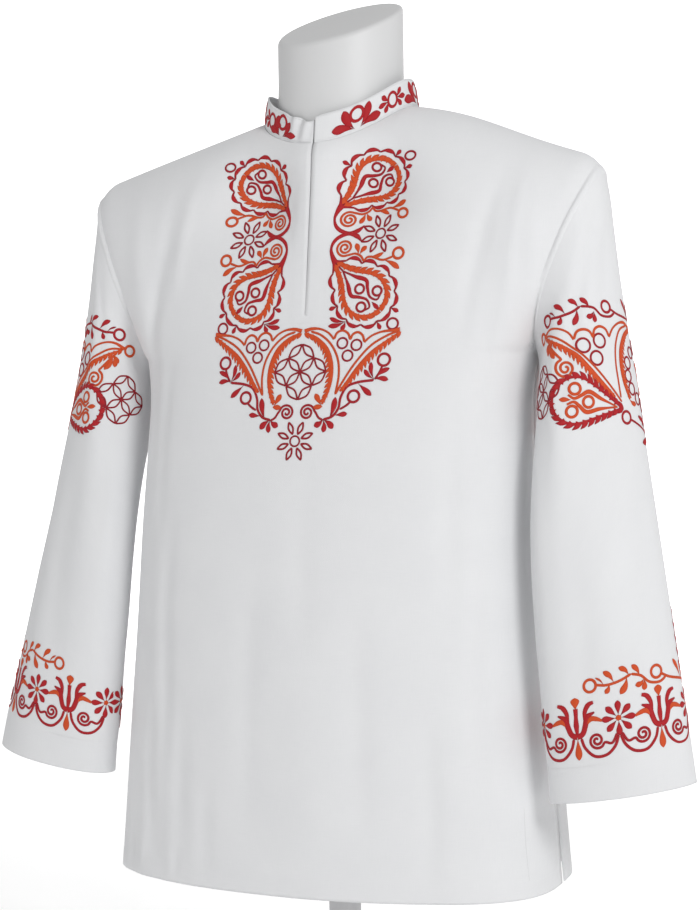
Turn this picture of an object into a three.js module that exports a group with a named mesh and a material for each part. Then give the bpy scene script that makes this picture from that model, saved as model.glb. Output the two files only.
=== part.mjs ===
// A man's embroidered folk shirt, worn on a limbless dress form with a pole and a round base.
// Millimetres, +Z up, front towards -Y, the wearer's left towards +X, the floor at Z = 0.
// The shirt is cut as front, back, two sleeves and a standing collar band; each is a closed cloth wall.
import * as THREE from "three";

// Cloth
const WALL = 1.6; // thickness of the cloth wall
const SEAM_GAP = 0.3; // space between two pieces that are sewn together

// Heights
const HEM_Z = 250;
const UNDERARM_Z = 760;
const NECK_SIDE_Z = 996; // where the shoulder meets the side of the collar
const COLLAR_HEIGHT = 27;
const COLLAR_LEAN = 4; // how far the band leans in towards the neck
const COLLAR_WAVE = { depth: 1.1, place: 0.04, length: 0.05, rate: 1.9 }; // ripple near the band's two ends
const COLLAR_RISE = SEAM_GAP + 0.25; // space between the neckline's upper edge and the band
const NECK_PLANE_Z = 1093; // middle of the form's slanting neck top

// Shoulder line
const NECK_HALF = 78; // half the width of the neckline
const TIP_HALF = 266; // half the width from shoulder tip to shoulder tip
const SHOULDER_SLOPE = 0.292;
const SHOULDER_BEND = 245; // past this half-width the shoulder turns down
const BEND_RATE = 0.02;
const LEFT_LIFT = { height: 11, x: 125, width: 72 }; // the shirt sits a little higher on the left shoulder
const SHOULDER_Y = 20; // the shoulder seam lies a little behind the middle
const SHOULDER_ROUND = 90; // height over which the cloth rounds over the shoulder
const NECK_DROP = { front: 33, back: 30 }; // how far the neckline is cut down at its middle
const NECK_ROUND = { front: 48, back: 90 }; // the same height at the middle of the neckline

// Front opening and side vents
const SLIT_LENGTH = 167;
const SLIT_TOP_WIDTH = 5;
const VENT_HEIGHT = 88;
const VENT_WIDTH = 7;

// Body sections, from the hem up: half-width, Y of the front, Y of the back and Y of the side seam
const BODY = [
  { z: 250, half: 225, front: -138, back: 132, seam: 0 },
  { z: 340, half: 218, front: -136, back: 129, seam: 1 },
  { z: 500, half: 206, front: -131, back: 124, seam: 5 },
  { z: 600, half: 201, front: -123, back: 123, seam: 9 },
  { z: 665, half: 198, front: -112, back: 123, seam: 12 },
  { z: 730, half: 198, front: -98, back: 124, seam: 16 },
  { z: 760, half: 203, front: -90, back: 125, seam: 18 },
  { z: 800, half: 213, front: -81, back: 125, seam: 19 },
  { z: 870, half: 240, front: -70, back: 126, seam: 20 },
  { z: 935, half: 266, front: -61, back: 122, seam: 20 },
  { z: 1010, half: 266, front: -55, back: 116, seam: 20 },
];
const NECK_HOLLOW = { depth: 24, x: 60, z: 912, length: 48 }; // the front falls back on each side of the neckline
const ARMHOLE_DEPTH = 56; // half the width of the armhole, front to back
const ARMHOLE_ROUND = 80; // height over which the armhole rounds in to the underarm
const SECTION_ROUND = 0.62; // power of the cosine in a body section: below 1 is boxier than an ellipse

// Soft folds pressed into the panels: place across, height of middle, half-width, half-length, depth
const FRONT_FOLDS = [
  { x: -176, z: 470, width: 14, length: 130, depth: 4 },
  { x: -188, z: 300, width: 12, length: 60, depth: 4 },
  { x: -150, z: 290, width: 11, length: 40, depth: 3 },
  { x: -196, z: 850, width: 13, length: 60, depth: -4 },
  { x: 214, z: 860, width: 12, length: 60, depth: -5 },
  { x: 190, z: 840, width: 11, length: 50, depth: -3 },
  { x: 120, z: 360, width: 30, length: 120, depth: 3 },
  { x: 20, z: 380, width: 34, length: 130, depth: -3 },
];
const BACK_FOLDS = [
  { x: -120, z: 450, width: 22, length: 170, depth: 6 },
  { x: -30, z: 430, width: 24, length: 180, depth: -5 },
  { x: 70, z: 440, width: 22, length: 170, depth: 6 },
  { x: 165, z: 420, width: 18, length: 140, depth: -5 },
  { x: 205, z: 850, width: 13, length: 60, depth: -4 },
  { x: -205, z: 850, width: 13, length: 60, depth: -4 },
];

// Sleeve sections from armhole to cuff, for the wearer's left: the outer and inner fold, and the half-thickness
const SLEEVE = [
  { out: [271, 23, 906], in: [207, 14, 742], thick: 56 },
  { out: [274, 26, 878], in: [209, 0, 716], thick: 54 },
  { out: [279, 30, 832], in: [211, -22, 682], thick: 51 },
  { out: [286, 31, 782], in: [212, -42, 643], thick: 48 },
  { out: [296, 27, 724], in: [213, -56, 598], thick: 45 },
  { out: [307, 16, 662], in: [215, -62, 550], thick: 43 },
  { out: [319, 4, 598], in: [218, -64, 500], thick: 42 },
  { out: [332, -10, 530], in: [222, -64, 448], thick: 40 },
  { out: [345, -24, 460], in: [226, -63, 394], thick: 39 },
  { out: [358, -38, 392], in: [230, -62, 356], thick: 37 },
  { out: [363, -43, 363], in: [231, -61, 340], thick: 36 },
];
const SLEEVE_AWAY = { x: 0.9, z: -0.7 }; // from the armhole's edge to the sleeve's first ring
const UNDERARM_AWAY = { share: 1.6, width: 1.1 }; // more of it round the underarm
const SLEEVE_FOLDS = [
  { angle: 2.45, row: 1.5, width: 0.3, length: 3.2, depth: 5 },
  { angle: 3.05, row: 5.5, width: 0.3, length: 3.5, depth: 4 },
  { angle: -2.2, row: 4, width: 0.35, length: 4, depth: 4 },
  { angle: 1.3, row: 7.5, width: 0.4, length: 3, depth: -3 },
];

// Dress form sections from the bottom up: half-width, Y of the front, Y of the back, radius of the neck
const FORM = [
  { z: 300, half: 150, front: -88, back: 100, neck: 0 },
  { z: 306, half: 160, front: -98, back: 108, neck: 0 },
  { z: 420, half: 166, front: -100, back: 108, neck: 0 },
  { z: 560, half: 148, front: -86, back: 94, neck: 0 },
  { z: 680, half: 160, front: -80, back: 100, neck: 0 },
  { z: 780, half: 178, front: -64, back: 108, neck: 0 },
  { z: 850, half: 190, front: -50, back: 104, neck: 0 },
  { z: 900, half: 204, front: -36, back: 92, neck: 64 },
  { z: 938, half: 208, front: -26, back: 80, neck: 65 },
  { z: 957, half: 205, front: -14, back: 66, neck: 65 },
  { z: 972, half: 154, front: -5, back: 58, neck: 64.5 },
  { z: 988, half: 94, front: 6, back: 34, neck: 64 },
  { z: 996, half: 66, front: 4, back: 36, neck: 64 },
  { z: 1030, half: 63, front: 4, back: 36, neck: 63 },
];
const NECK_RADIUS = 63;
const NECK_TILT = { x: 0.1, y: 0.46 }; // rise of the neck top for each millimetre to the left and back
const NECK_EDGE = 5; // rounding of the neck top's edge

const POLE_RADIUS = 16;
const BASE_RADIUS = 160;
const BASE_HEIGHT = 12;
const BASE_EDGE = 3;

// Grid sizes
const NECK_COLUMNS = 4; // across half the neckline
const SHOULDER_COLUMNS = 10; // from the neckline to the side
const ROUND_ROWS = 6;
const SLIT_ROWS = 5;
const DOWN_ROWS = 11;
const COLLAR_SPLIT = 3; // collar steps for each step of the neckline
const FORM_AROUND = 36;

const CLOTH = { color: 0xf4f3f1, roughness: 0.9, metalness: 0 };
const SHELL = { color: 0xdfe0e3, roughness: 0.6, metalness: 0 };
const PAINTED = { color: 0xd9dadc, roughness: 0.4, metalness: 0.3 };

const vec = (x, y, z) => new THREE.Vector3(x, y, z);
const mix = THREE.MathUtils.lerp;
const bell = (distance) => Math.exp(-distance * distance);

// The value of one column of a table at a height, linear between its rows.
function tableAt(table, column, z) {
  const last = table.length - 1;
  const low = table.findIndex((row, i) => i === last - 1 || z < table[i + 1].z);
  const a = table[low];
  const b = table[low + 1];
  return mix(a[column], b[column], THREE.MathUtils.clamp((z - a.z) / (b.z - a.z), 0, 1));
}

// Height of the shoulder line over a place across the body.
function shoulderZ(x) {
  const away = Math.abs(x);
  const past = Math.max(away - SHOULDER_BEND, 0);
  const lift = LEFT_LIFT.height * bell((x - LEFT_LIFT.x) / LEFT_LIFT.width);
  return lift + NECK_SIDE_Z - SHOULDER_SLOPE * Math.max(away - NECK_HALF, 0) - BEND_RATE * past * past;
}

function foldDepth(folds, x, z) {
  return folds.reduce(
    (sum, fold) => sum + fold.depth * bell((x - fold.x) / fold.width) * bell((z - fold.z) / fold.length),
    0,
  );
}

function neckHollow(x, z) {
  const away = (x / NECK_HOLLOW.x) ** 2;
  return NECK_HOLLOW.depth * away * Math.exp(1 - away) * bell((z - NECK_HOLLOW.z) / NECK_HOLLOW.length);
}

// A point of a panel's middle surface: across is -1 to 1, z a height, turn the angle over the shoulder.
function bodyPoint(face, across, z, turn) {
  const angle = (across * Math.PI) / 2;
  const x = tableAt(BODY, "half", z) * Math.sin(angle);
  const seam = tableAt(BODY, "seam", z);
  const full = Math.abs(tableAt(BODY, face, z) - seam);
  const share = Math.pow(Math.max(Math.cos(angle), 0), SECTION_ROUND);
  const up = THREE.MathUtils.clamp((z - UNDERARM_Z) / ARMHOLE_ROUND, 0, 1);
  const atEdge = ARMHOLE_DEPTH * Math.sqrt(1 - (1 - up) ** 2);
  const depth = (full * share + atEdge * (1 - share) ** 2) * Math.sin(turn);
  const folds = face === "front" ? FRONT_FOLDS : BACK_FOLDS;
  const hollow = face === "front" ? neckHollow(x, z) * Math.sin(turn) : 0;
  const pressed = foldDepth(folds, x, z) * share + hollow;
  const sign = face === "front" ? -1 : 1;
  return vec(x, seam + sign * Math.max(depth - pressed, 0), z);
}

// Height over which a column rounds over the shoulder: less at the middle of the neckline.
function roundHeight(face, x) {
  const share = Math.min(Math.abs(x) / NECK_HALF, 1) ** 2;
  return mix(NECK_ROUND[face], SHOULDER_ROUND, share);
}

// The angle over the shoulder at which a column starts: nothing at the seam, more at the neckline.
function startTurn(face, x) {
  if (Math.abs(x) > EDGE) return 0;
  const middleTurn = Math.acos(1 - NECK_DROP[face] / NECK_ROUND[face]);
  return Math.asin(Math.sin(middleTurn) * Math.sqrt(1 - (x / NECK_HALF) ** 2));
}

// Places across a panel, -1 to 1: one column lies on the slit and one on each end of the neckline.
function columnPlaces() {
  const neckEnd = Math.asin(NECK_HALF / TIP_HALF);
  const half = [0];
  for (let i = 1; i <= NECK_COLUMNS; i += 1) {
    half.push(Math.asin((NECK_HALF / TIP_HALF) * Math.sin((i * Math.PI) / 2 / NECK_COLUMNS)));
  }
  for (let i = 1; i <= SHOULDER_COLUMNS; i += 1) half.push(mix(neckEnd, Math.PI / 2, i / SHOULDER_COLUMNS));
  const places = half.map((angle) => (2 * angle) / Math.PI);
  return [...places.slice(1).reverse().map((place) => -place), ...places];
}

const PLACES = columnPlaces();
const COLUMNS = PLACES.length - 1;
const EDGE = NECK_HALF - 0.01; // a column past this starts on the shoulder seam

// Heights and turns of a column's points, from the shoulder or neckline to the hem.
function columnStops(face, across) {
  const x = TIP_HALF * Math.sin((across * Math.PI) / 2);
  const ridge = shoulderZ(x);
  const first = startTurn(face, x);
  const round = roundHeight(face, x);
  const stops = [];
  for (let i = 0; i <= ROUND_ROWS; i += 1) {
    const turn = mix(first, Math.PI / 2, i / ROUND_ROWS);
    stops.push({ z: ridge - round * (1 - Math.cos(turn)), turn });
  }
  const roundEnd = ridge - round;
  for (let i = 1; i <= SLIT_ROWS; i += 1) {
    stops.push({ z: mix(roundEnd, SLIT_END_Z, i / SLIT_ROWS), turn: Math.PI / 2 });
  }
  for (let i = 1; i <= DOWN_ROWS; i += 1) {
    stops.push({ z: mix(SLIT_END_Z, HEM_Z, i / DOWN_ROWS), turn: Math.PI / 2 });
  }
  return stops;
}

const NECK_FRONT_Z = NECK_SIDE_Z - NECK_DROP.front;
const SLIT_END_Z = NECK_FRONT_Z - SLIT_LENGTH;
const SLIT_ROW = ROUND_ROWS + SLIT_ROWS;

// Vertex normals of a set of quads, from the sum of their faces.
function normalsOf(points, quads) {
  const normals = points.map(() => vec(0, 0, 0));
  for (const [a, b, c, d] of quads) {
    const across = points[c].clone().sub(points[a]);
    const along = points[d].clone().sub(points[b]);
    const face = across.cross(along);
    for (const corner of [a, b, c, d]) normals[corner].add(face);
  }
  return normals.map((normal) => normal.normalize());
}

// A mesh from outer and inner points over the same quads, with a rim on each open edge.
function closedWall(outer, inner, quads) {
  const shift = outer.length;
  const faces = [];
  const uses = new Map();
  const addQuad = (a, b, c, d) => faces.push(a, b, c, a, c, d);
  for (const quad of quads) {
    const [a, b, c, d] = quad;
    addQuad(a, b, c, d);
    addQuad(a + shift, d + shift, c + shift, b + shift);
    quad.forEach((from, i) => uses.set(`${from}_${quad[(i + 1) % 4]}`, [from, quad[(i + 1) % 4]]));
  }
  for (const [from, to] of uses.values()) {
    if (!uses.has(`${to}_${from}`)) addQuad(from, from + shift, to + shift, to);
  }
  return geometryFrom([...outer, ...inner], faces);
}

function geometryFrom(points, faces) {
  const geometry = new THREE.BufferGeometry();
  geometry.setAttribute("position", new THREE.Float32BufferAttribute(points.flatMap((p) => p.toArray()), 3));
  geometry.setIndex(faces);
  geometry.computeVertexNormals();
  return geometry;
}

// Outer and inner points on each side of a middle surface.
function bothSides(points, normals, thickness) {
  const half = thickness / 2;
  return {
    outer: points.map((p, i) => p.clone().addScaledVector(normals[i], half)),
    inner: points.map((p, i) => p.clone().addScaledVector(normals[i], -half)),
  };
}

// Front or back panel. The front has its middle column doubled down to the end of the slit.
function panel(face) {
  const sign = face === "front" ? -1 : 1;
  const points = [];
  const index = [];
  const middle = COLUMNS / 2;
  for (let i = 0; i <= COLUMNS; i += 1) {
    const across = PLACES[i];
    const column = columnStops(face, across).map(({ z, turn }, row) => {
      const p = bodyPoint(face, across, z, turn);
      const onShoulder = row === 0 && Math.abs(p.x) > EDGE;
      const onSide = (i === 0 || i === COLUMNS) && z <= UNDERARM_Z;
      if (onShoulder || onSide) {
        const down = THREE.MathUtils.clamp((HEM_Z + VENT_HEIGHT - z) / VENT_HEIGHT, 0, 1);
        p.y += sign * (SEAM_GAP / 2 + (onSide ? (VENT_WIDTH / 2) * down : 0));
      }
      points.push(p);
      return points.length - 1;
    });
    index.push(column);
  }
  const left = index[middle].slice();
  if (face === "front") {
    for (let row = 0; row < SLIT_ROW; row += 1) {
      const half = (SLIT_TOP_WIDTH / 2) * (1 - row / SLIT_ROW) + SEAM_GAP / 2;
      const here = points[index[middle][row]];
      points.push(vec(half, here.y, here.z));
      left[row] = points.length - 1;
      here.x = -half;
    }
  }
  const quads = [];
  const rows = index[0].length - 1;
  for (let i = 0; i < COLUMNS; i += 1) {
    const near = i === middle ? left : index[i];
    for (let row = 0; row < rows; row += 1) {
      const quad = [near[row], near[row + 1], index[i + 1][row + 1], index[i + 1][row]];
      quads.push(face === "front" ? quad : quad.reverse());
    }
  }
  const normals = normalsOf(points, quads);
  index.forEach((column, i) => {
    const top = points[column[0]];
    if (Math.abs(top.x) > EDGE) normals[column[0]].setY(0).normalize();
    if (i === 0 || i === COLUMNS) column.forEach((p) => points[p].z <= UNDERARM_Z + 25 && normals[p].setY(0).normalize());
  });
  return { ...bothSides(points, normals, WALL), points, normals, quads, index };
}

const front = panel("front");
const back = panel("back");

// The armhole as a loop of middle points, from the shoulder tip down the front, then up the back.
function armhole(side) {
  const column = side < 0 ? 0 : COLUMNS;
  const edgeOf = (piece) => piece.index[column].map((p) => piece.points[p].clone());
  const above = (p) => p.z > UNDERARM_Z + 1;
  const tip = edgeOf(front)[0].setY(SHOULDER_Y);
  const under = bodyPoint("front", side, UNDERARM_Z, Math.PI / 2);
  return [tip, ...edgeOf(front).slice(1).filter(above), under, ...edgeOf(back).slice(1).filter(above).reverse()];
}

// Angles round the sleeve for the loop's points: 0 at the tip, a half turn at the underarm.
function loopAngles(loop) {
  const lengths = [0];
  for (let i = 1; i <= loop.length; i += 1) {
    lengths.push(lengths[i - 1] + loop[i % loop.length].distanceTo(loop[i - 1]));
  }
  const underAt = loop.length / 2;
  const half = lengths[underAt];
  const rest = lengths[loop.length] - half;
  return loop.map((_, i) => Math.PI * (i <= underAt ? lengths[i] / half : 1 + (lengths[i] - half) / rest));
}

// One ring of the sleeve: from the outer fold round the front to the inner fold and up the back.
function sleeveRing(row, side, rowIndex, angles) {
  const outFold = vec(...row.out);
  const inFold = vec(...row.in);
  const middle = outFold.clone().add(inFold).multiplyScalar(0.5);
  const half = outFold.clone().sub(inFold).multiplyScalar(0.5);
  const forward = vec(0, -1, 0).projectOnPlane(half.clone().normalize()).normalize();
  return angles.map((angle) => {
    const folds = SLEEVE_FOLDS.reduce((sum, fold) => {
      const turned = Math.atan2(Math.sin(angle - fold.angle), Math.cos(angle - fold.angle));
      return sum + fold.depth * bell(turned / fold.width) * bell((rowIndex - fold.row) / fold.length);
    }, 0);
    const point = middle.clone();
    point.addScaledVector(half, Math.cos(angle) * (1 - folds / half.length()));
    point.addScaledVector(forward, Math.sin(angle) * (row.thick - folds));
    return vec(side * point.x, point.y, point.z);
  });
}

function sleeve(side) {
  const seam = armhole(side);
  const angles = loopAngles(seam);
  const around = seam.length;
  const first = seam.map((p, k) => {
    const more = 1 + UNDERARM_AWAY.share * bell((angles[k] - Math.PI) / UNDERARM_AWAY.width);
    return p.clone().add(vec(side * SLEEVE_AWAY.x * more, 0, SLEEVE_AWAY.z * more));
  });
  const rings = [first];
  SLEEVE.forEach((row, i) => rings.push(sleeveRing(row, side, i, angles)));
  const points = rings.flat();
  const quads = [];
  for (let r = 0; r + 1 < rings.length; r += 1) {
    for (let k = 0; k < around; k += 1) {
      const next = (k + 1) % around;
      const quad = [r * around + k, (r + 1) * around + k, (r + 1) * around + next, r * around + next];
      quads.push(side < 0 ? quad : quad.reverse());
    }
  }
  const { outer, inner } = bothSides(points, normalsOf(points, quads), WALL);
  return closedWall(outer, inner, quads);
}

// The neckline, from the wearer's right of the slit round the back to the left of it. Each point is
// raised so that the collar band clears the panel's wall, which lies flatter near the shoulder seam.
function neckline() {
  const raised = (face, p) => {
    const flatness = Math.cos(startTurn(face, p.x));
    return vec(p.x, p.y, p.z + COLLAR_RISE + (WALL / 2) * flatness);
  };
  const tops = (side) => side.index.map((column) => side.points[column[0]]).filter((p) => Math.abs(p.x) < EDGE);
  const rightSide = tops(front)
    .filter((p) => p.x < 0)
    .reverse()
    .map((p) => raised("front", p));
  const leftSide = tops(front)
    .filter((p) => p.x > 0)
    .map((p) => raised("front", p))
    .reverse();
  const corner = (x) => raised("back", vec(x, SHOULDER_Y, shoulderZ(x)));
  const behind = tops(back).map((p) => raised("back", p));
  return [...rightSide, corner(-NECK_HALF), ...behind, corner(NECK_HALF), ...leftSide];
}

// Standing collar band: it rises from the neckline and leans in a little.
function collarBand() {
  const seam = neckline();
  const rows = [0, 0.33, 0.67, 1];
  const steps = (seam.length - 1) * COLLAR_SPLIT;
  const points = [];
  for (let k = 0; k <= steps; k += 1) {
    const i = Math.min(Math.floor(k / COLLAR_SPLIT), seam.length - 2);
    const base = seam[i].clone().lerp(seam[i + 1], k / COLLAR_SPLIT - i);
    const inward = vec(-base.x, SHOULDER_Y - base.y, 0).normalize();
    const nearEnd = Math.min(k, steps - k) / steps;
    const ripple = bell((nearEnd - COLLAR_WAVE.place) / COLLAR_WAVE.length) * Math.cos(k * COLLAR_WAVE.rate);
    const wave = COLLAR_WAVE.depth * ripple;
    for (const share of rows) {
      const p = base.clone().addScaledVector(inward, (COLLAR_LEAN + wave) * share);
      p.z += COLLAR_HEIGHT * share;
      points.push(p);
    }
  }
  const quads = [];
  const across = rows.length;
  for (let k = 0; k < steps; k += 1) {
    for (let r = 0; r + 1 < across; r += 1) {
      const a = k * across + r;
      quads.push([a, a + 1, a + across + 1, a + across]);
    }
  }
  const { outer, inner } = bothSides(points, normalsOf(points, quads), WALL);
  return closedWall(outer, inner, quads);
}

// A closed loft through rings of equal length, with a fan over each end.
function loft(rings) {
  const count = rings[0].length;
  const points = rings.flat();
  const faces = [];
  for (let r = 0; r + 1 < rings.length; r += 1) {
    for (let k = 0; k < count; k += 1) {
      const next = (k + 1) % count;
      const a = r * count + k;
      const b = r * count + next;
      faces.push(a, b, b + count, a, b + count, a + count);
    }
  }
  const centreOf = (ring) => ring.reduce((sum, p) => sum.add(p), vec(0, 0, 0)).divideScalar(count);
  const low = points.push(centreOf(rings[0])) - 1;
  const high = points.push(centreOf(rings[rings.length - 1])) - 1;
  const top = (rings.length - 1) * count;
  for (let k = 0; k < count; k += 1) {
    const next = (k + 1) % count;
    faces.push(low, next, k, high, top + k, top + next);
  }
  return geometryFrom(points, faces);
}

function dressForm() {
  const rings = FORM.map(({ z, half, front: near, back: far, neck }) => {
    const ring = [];
    for (let k = 0; k < FORM_AROUND; k += 1) {
      const angle = (2 * Math.PI * k) / FORM_AROUND;
      const reach = Math.sin(angle) < 0 ? SHOULDER_Y - near : far - SHOULDER_Y;
      const oval = 1 / Math.hypot(Math.cos(angle) / half, Math.sin(angle) / reach);
      const radius = Math.max(oval, neck);
      ring.push(vec(radius * Math.cos(angle), SHOULDER_Y + radius * Math.sin(angle), z));
    }
    return ring;
  });
  const topZ = (x, y) => NECK_PLANE_Z + NECK_TILT.x * x + NECK_TILT.y * (y - SHOULDER_Y);
  const neckRing = (inset, below) => {
    const ring = [];
    for (let k = 0; k < FORM_AROUND; k += 1) {
      const angle = (2 * Math.PI * k) / FORM_AROUND;
      const radius = NECK_RADIUS - inset;
      const x = radius * Math.cos(angle);
      const y = SHOULDER_Y + radius * Math.sin(angle);
      ring.push(vec(x, y, topZ(x, y) - below));
    }
    return ring;
  };
  rings.push(neckRing(0, NECK_EDGE), neckRing(NECK_EDGE * 0.3, NECK_EDGE * 0.3), neckRing(NECK_EDGE, 0));
  return loft(rings);
}

// A turned solid from a profile of radius and height that starts and ends on the axis.
function turned(profile) {
  return new THREE.LatheGeometry(profile.map(([radius, z]) => new THREE.Vector2(radius, z)), 32).rotateX(Math.PI / 2);
}

function standPole() {
  const low = BASE_HEIGHT + SEAM_GAP;
  const high = FORM[0].z - SEAM_GAP;
  return turned([[0, low], [POLE_RADIUS, low], [POLE_RADIUS, high], [0, high]]);
}

function standBase() {
  const inner = BASE_RADIUS - BASE_EDGE;
  return turned([[0, 0], [BASE_RADIUS, 0], [BASE_RADIUS, BASE_HEIGHT - BASE_EDGE], [inner, BASE_HEIGHT], [0, BASE_HEIGHT]]);
}

const shirtOnForm = new THREE.Group();

function add(name, geometry, finish) {
  const mesh = new THREE.Mesh(geometry, new THREE.MeshStandardMaterial(finish));
  mesh.name = name;
  shirtOnForm.add(mesh);
}

add("front", closedWall(front.outer, front.inner, front.quads), CLOTH);
add("back", closedWall(back.outer, back.inner, back.quads), CLOTH);
add("sleeve_left", sleeve(1), CLOTH);
add("sleeve_right", sleeve(-1), CLOTH);
add("collar_band", collarBand(), CLOTH);
add("dress_form", dressForm(), SHELL);
add("stand_pole", standPole(), PAINTED);
add("stand_base", standBase(), PAINTED);

export default shirtOnForm;
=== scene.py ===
# %% [markdown]
# # Embroidered folk shirt on a dress form
# The shirt is a white, collarless, straight-cut folk shirt: a front, a back, two wide sleeves and a low
# standing band. It hangs on a limbless dress form with a pole and a round base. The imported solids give
# the worn shape; here each piece of cloth is a thin shell on the same shape, with finer folds, stitched
# edges and raised embroidery. Sizes are in millimetres until a mesh is made.

import bpy
import numpy as np
from mathutils import Matrix, Vector


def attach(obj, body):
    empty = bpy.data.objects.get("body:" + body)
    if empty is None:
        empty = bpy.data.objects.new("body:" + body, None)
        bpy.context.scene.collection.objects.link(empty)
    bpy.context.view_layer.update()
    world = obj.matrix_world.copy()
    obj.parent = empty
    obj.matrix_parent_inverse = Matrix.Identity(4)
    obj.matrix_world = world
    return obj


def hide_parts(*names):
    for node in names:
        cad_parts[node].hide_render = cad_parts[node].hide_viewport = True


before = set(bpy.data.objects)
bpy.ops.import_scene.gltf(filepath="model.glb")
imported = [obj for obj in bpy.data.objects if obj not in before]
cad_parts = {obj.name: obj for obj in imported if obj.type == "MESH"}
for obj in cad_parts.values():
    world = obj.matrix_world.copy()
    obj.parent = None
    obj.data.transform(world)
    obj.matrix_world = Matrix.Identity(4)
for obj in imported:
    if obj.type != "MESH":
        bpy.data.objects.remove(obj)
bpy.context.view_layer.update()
MM = 0.001
print("nodes:", sorted(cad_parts))

# %% [markdown]
# ## Tools for smooth surfaces
# A garment is patterned from a few measured sections. A curve drawn through each column of a table of
# sections gives the shape between them, as a pattern cutter's curve does.

# %% Curves through tables
def curve_through(places, values, at):
    """Values at `at` of the smooth curve through (places, values): h00 v0 + h10 d m0 + h01 v1 + h11 d m1.

    The slopes m are the central differences of the rows, so the curve passes through every row.
    """
    places, values, at = (np.asarray(a, float) for a in (places, values, at))
    slopes = np.gradient(values, places, axis=0)
    held = np.clip(at, places[0], places[-1])
    low = np.clip(np.searchsorted(places, held, side="right") - 1, 0, len(places) - 2)
    step = places[low + 1] - places[low]
    t = (held - places[low]) / step
    for _ in range(values.ndim - 1):
        t, step = t[..., None], step[..., None]
    h00, h10 = 2 * t**3 - 3 * t**2 + 1, t**3 - 2 * t**2 + t
    h01, h11 = -2 * t**3 + 3 * t**2, t**3 - t**2
    return h00 * values[low] + h10 * step * slopes[low] + h01 * values[low + 1] + h11 * step * slopes[low + 1]


def bell(distance):
    """exp(-d^2): 1 at the middle and soft to both sides."""
    return np.exp(-np.square(distance))


def soft_step(edge0, edge1, x):
    """3t^2 - 2t^3 of t, the share of the way from edge0 to edge1."""
    t = np.clip((x - edge0) / (edge1 - edge0), 0, 1)
    return t * t * (3 - 2 * t)


def near_path(x, z, path):
    """Distance to a path of straight pieces, and the share of the way along it, for arrays x and z."""
    path = np.asarray(path, float)
    lengths = np.hypot(*np.diff(path, axis=0).T)
    total, gone = lengths.sum(), 0.0
    best, share = np.full(np.shape(x), 1e9), np.zeros(np.shape(x))
    for a, b, length in zip(path[:-1], path[1:], lengths):
        along = np.clip(((x - a[0]) * (b[0] - a[0]) + (z - a[1]) * (b[1] - a[1])) / length**2, 0, 1)
        away = np.hypot(x - a[0] - along * (b[0] - a[0]), z - a[1] - along * (b[1] - a[1]))
        nearer = away < best
        best, share = np.where(nearer, away, best), np.where(nearer, (gone + along * length) / total, share)
        gone += length
    return best, share


def creased(x, z, creases):
    """Sum of soft creases: depth * exp(-(distance/width)^2), fading to nothing at both ends of its path."""
    total = np.zeros(np.shape(x))
    for path, width, depth in creases:
        away, share = near_path(x, z, path)
        total += depth * bell(away / width) * np.sin(np.pi * np.clip(share, 0.02, 0.98)) ** 0.6
    return total


# %% [markdown]
# ## The body of the shirt
# Front and back are straight pieces of linen. On the form they fall in a flattened oval that is widest at
# the hem, drawn in under the arms and rounded over the shoulders. Folds are pressed in as soft troughs.

# %% Body sections
SHOULDER_Y, SHOULDER_ROUND, TIP_HALF, NECK_HALF = 20, 90, 266, 78
HEM_Z, UNDERARM_Z, NECK_SIDE_Z = 250, 760, 996
NECK_DROP = {"front": 33, "back": 30}
NECK_ROUND = {"front": 48, "back": 90}  # rounding height at the middle of the neckline
SLIT_TOP_Z, SLIT_END_Z, SLIT_TOP_WIDTH = 963, 796, 1.4
VENT_HEIGHT, VENT_WIDTH = 88, 7
# height, half-width, Y of front, Y of back, Y of side seam
BODY = np.array([
    (250, 225, -138, 132, 0), (340, 218, -136, 129, 1), (500, 206, -131, 124, 5),
    (600, 201, -123, 123, 9), (665, 198, -112, 123, 12), (730, 198, -98, 124, 16),
    (760, 203, -90, 125, 18), (800, 213, -81, 125, 19), (870, 240, -70, 126, 20),
    (935, 266, -61, 122, 20), (1010, 266, -55, 116, 20),
], float)
# place across, height, half-width, half-length, depth of the broad folds
BROAD_FOLDS = {
    "front": [
        (-176, 470, 14, 130, 4), (-188, 300, 12, 60, 4), (-150, 290, 11, 40, 3), (-196, 850, 13, 60, -4),
        (214, 860, 12, 60, -5), (190, 840, 11, 50, -3), (120, 360, 30, 120, 3), (20, 380, 34, 130, -3),
    ],
    "back": [
        (-120, 450, 22, 170, 6), (-30, 430, 24, 180, -5), (70, 440, 22, 170, 6), (165, 420, 18, 140, -5),
        (205, 850, 13, 60, -4), (-205, 850, 13, 60, -4),
    ],
}
CREASE_DEPTH = 1.5
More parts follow.
